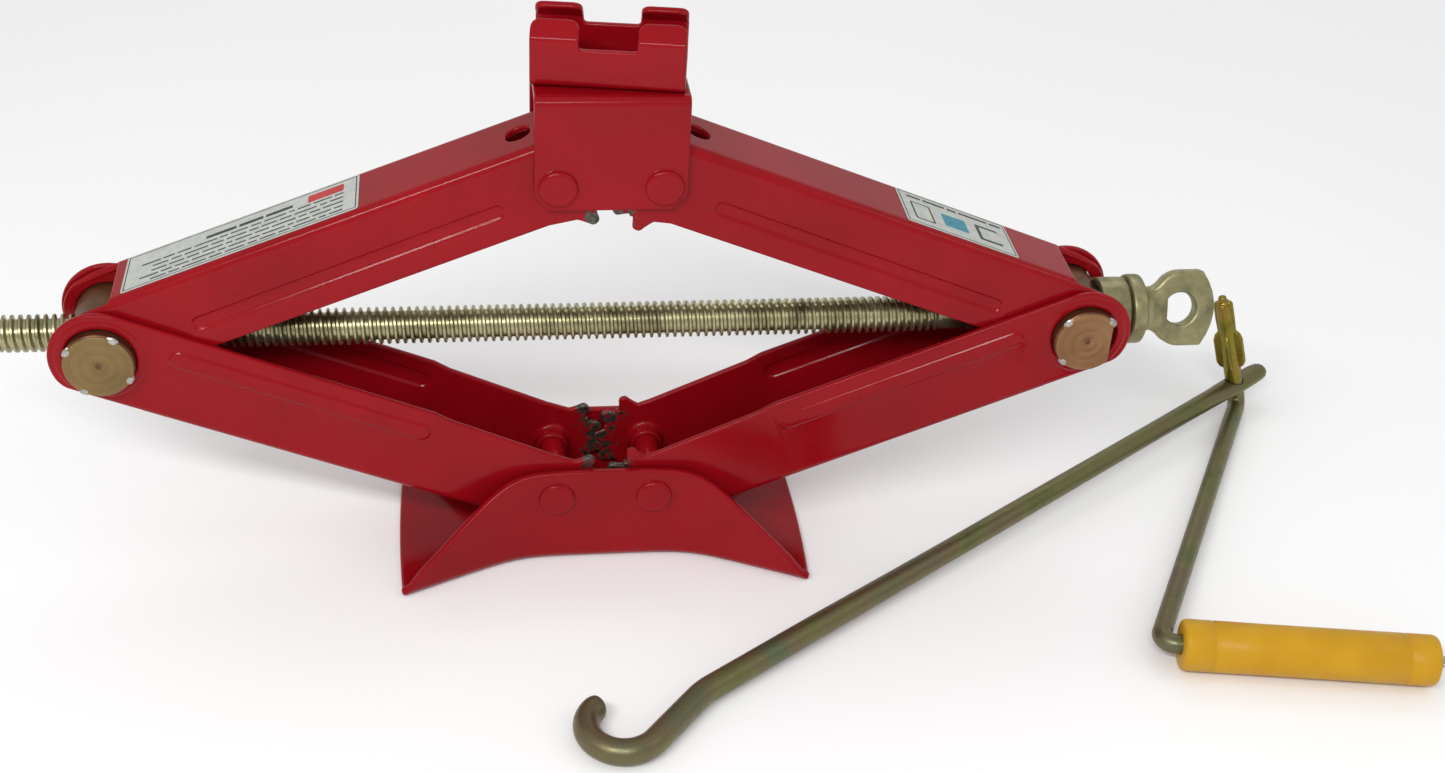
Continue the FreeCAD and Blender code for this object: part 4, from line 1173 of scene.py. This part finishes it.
def crank_rod():
    path = curved([STUB_TIP, ELBOW, CORNER, SPINDLE_END], [5.0, 5.0], 2.0)
    total = along_path(path)[-1]
    sizes = ((0.0, 0.7, 0.7), (0.7, 1.7, 1.7), (2.4, 2.0, 2.0), (3.4, 2.9, 2.9), (5.0, 3.5, 3.5),
             (22.0, 3.6, 3.6), (42.0, 3.8, 3.8), (total - 9.0, 3.8, 3.8), (total - 5.2, 2.9, 2.9),
             (total - 4.0, 2.8, 2.7), (total - 3.2, 3.9, 2.0), (total - 1.6, 4.1, 1.6),
             (total - 0.5, 3.2, 1.4), (total, 1.6, 0.9))
    cuts = [0.35, 0.7, 1.5, 2.4, 2.9, 3.4]
    cuts += [total - d for d in (5.2, 4.6, 4.0, 3.6, 3.2, 2.4, 1.6, 1.0, 0.5, 0.2)]
    fine, places = refined(path, cuts)
    shape = Shape().add(*swept(fine, lambda i: oval(*between(places[i], sizes))))
    spindle = (SPINDLE_END - CORNER).normalized()
    tip_from = SPINDLE_END - spindle * 4.6
    for number, face in enumerate(shape.faces):
        middle = sum((shape.points[i] for i in face), Vector()) / len(face)
        if (middle - tip_from).dot(spindle) > 0:
            shape.slots[number] = 2
        elif middle.z > STUB_START:
            shape.slots[number] = 1
    profile = [(20.6, 3.4), (22.0, 5.4), (24.2, 6.4), (36.4, 6.4), (39.0, 5.6), (40.4, 4.2), (41.6, 4.0),
               (48.0, 4.2), (55.6, 4.2), (57.0, 3.4)]
    outline = [(out, along) for along, out in profile] + [(-out, along) for along, out in reversed(profile)]
    stub = frame_matrix(ELBOW, Vector((0, 1, 0)), STUB_WAY)
    thick = 2.3
    points, faces = sheet_metal(rounded(outline, 2), lambda u, s, depth: (u, s, thick / 2 - depth), thick,
                                0.75)
    for turn in (-26, 64):
        shape.add(points, faces, 1, stub @ Matrix.Rotation(math.radians(turn), 4, "Y"))
    finish_piece("crank_rod_looks", shape, "crank", ["crank_rod"],
                 [ROD_ZINC, STUB_ZINC, BRIGHT_STEEL])


def crank_grip():
    length = 96.0
    profile = [(0.0, 4.0), (0.0, 8.4), (0.3, 9.1), (0.9, 9.6), (1.8, 9.78),
               (10.9, 9.8), (11.2, 9.45), (11.7, 9.45), (12.0, 9.78),
               (30, 9.7), (60, 9.7), (84.0, 9.74), (84.3, 9.45), (84.8, 9.45), (85.1, 9.78),
               (94.2, 9.75), (95.1, 9.5), (95.7, 9.1),
               (length, 8.4), (length, 6.4), (length - 0.8, 5.9), (length - 0.9, 4.0), (0.0, 4.0)]
    way = (SPINDLE_END - CORNER).normalized()
    matrix = frame_matrix(CORNER + way * GRIP_START, way, Vector((0, 0, 1)))
    shape = Shape().add(*turned(profile, 72), 0, matrix)
    finish_piece("crank_grip_looks", shape, "grip", ["crank_grip"], [GRIP])


hook_rod()
crank_rod()
crank_grip()


# --- CAD nodes that stay ----------------------------------------------------------------------

# The trunnion bodies take the pin-side colour, with its painted shade and painted reflection.
KEPT = {"trunnion_nut": PIN_SIDE_PAINTED_REFLECTION, "trunnion_thrust": PIN_SIDE_PAINTED_REFLECTION, "bearing_washer_inner": DARK_STEEL,
        "bearing_washer_outer": DARK_STEEL, "bearing_balls": BRIGHT_STEEL}
for node, material in KEPT.items():
    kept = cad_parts[node]
    for number in range(max(1, len(kept.material_slots))):
        if not kept.material_slots:
            kept.data.materials.append(material)
        kept.material_slots[number].material = material


# --- floor, light and camera ------------------------------------------------------------------

def studio():
    world = bpy.data.worlds.new("studio")
    bpy.context.scene.world = world
    world.use_nodes = True
    background = world.node_tree.nodes["Background"]
    background.inputs["Color"].default_value = (1, 1, 1, 1)
    background.inputs["Strength"].default_value = 0.67
    mesh = bpy.data.meshes.new("floor")
    far = 6.0
    mesh.from_pydata([(-far, -far, 0), (far, -far, 0), (far, far, 0), (-far, far, 0)], [], [(0, 1, 2, 3)])
    floor = bpy.data.objects.new("floor", mesh)
    nodes = Nodes("floor_paint")
    colour = nodes.ramp(nodes.noise(3, 2), [(0.3, (0.95, 0.95, 0.95)), (0.7, (0.97, 0.97, 0.97))])
    nodes.shade(Base_Color=colour, Roughness=0.9)
    nodes.shader.inputs["Specular IOR Level"].default_value = 0.1
    mesh.materials.append(nodes.material)
    bpy.context.scene.collection.objects.link(floor)
    # name, place, size and power of each softbox
    lamps = (("key", (-0.35, -0.85, 0.95), (0.9, 0.12), 8.8), ("rear", (0.35, 0.9, 1.15), (0.5, 0.5), 1.5),
             ("side", (1.0, -0.35, 0.9), (0.3, 0.3), 0.5))
    for name, place, size, power in lamps:
        light = bpy.data.lights.new(name, "AREA")
        light.shape = "RECTANGLE"
        light.size, light.size_y = size
        light.energy = power
        lamp = bpy.data.objects.new(name, light)
        bpy.context.scene.collection.objects.link(lamp)
        lamp.location = place
        lamp.rotation_euler = (Vector((0.03, 0, 0.08)) - Vector(place)).to_track_quat("-Z", "Y").to_euler()


def camera():
    data = bpy.data.cameras.new("camera")
    data.sensor_fit = "HORIZONTAL"
    data.sensor_width = 36
    data.lens = 49.352
    data.clip_start = 0.01
    eye = bpy.data.objects.new("camera", data)
    bpy.context.scene.collection.objects.link(eye)
    heading, down, roll = (math.radians(a) for a in (9.14, 33.226, 3.4747))
    look = Vector((math.sin(heading) * math.cos(down), math.cos(heading) * math.cos(down), -math.sin(down)))
    level = look.cross(Vector((0, 0, 1))).normalized()
    right = Matrix.Rotation(-roll, 4, look) @ level
    up = right.cross(look)
    matrix = Matrix((right, up, -look)).transposed().to_4x4()
    matrix.translation = Vector((-0.05649, -0.64421, 0.49230))
    eye.matrix_world = matrix
    bpy.context.scene.camera = eye


bpy.context.scene.view_settings.view_transform = "Standard"
studio()
camera()
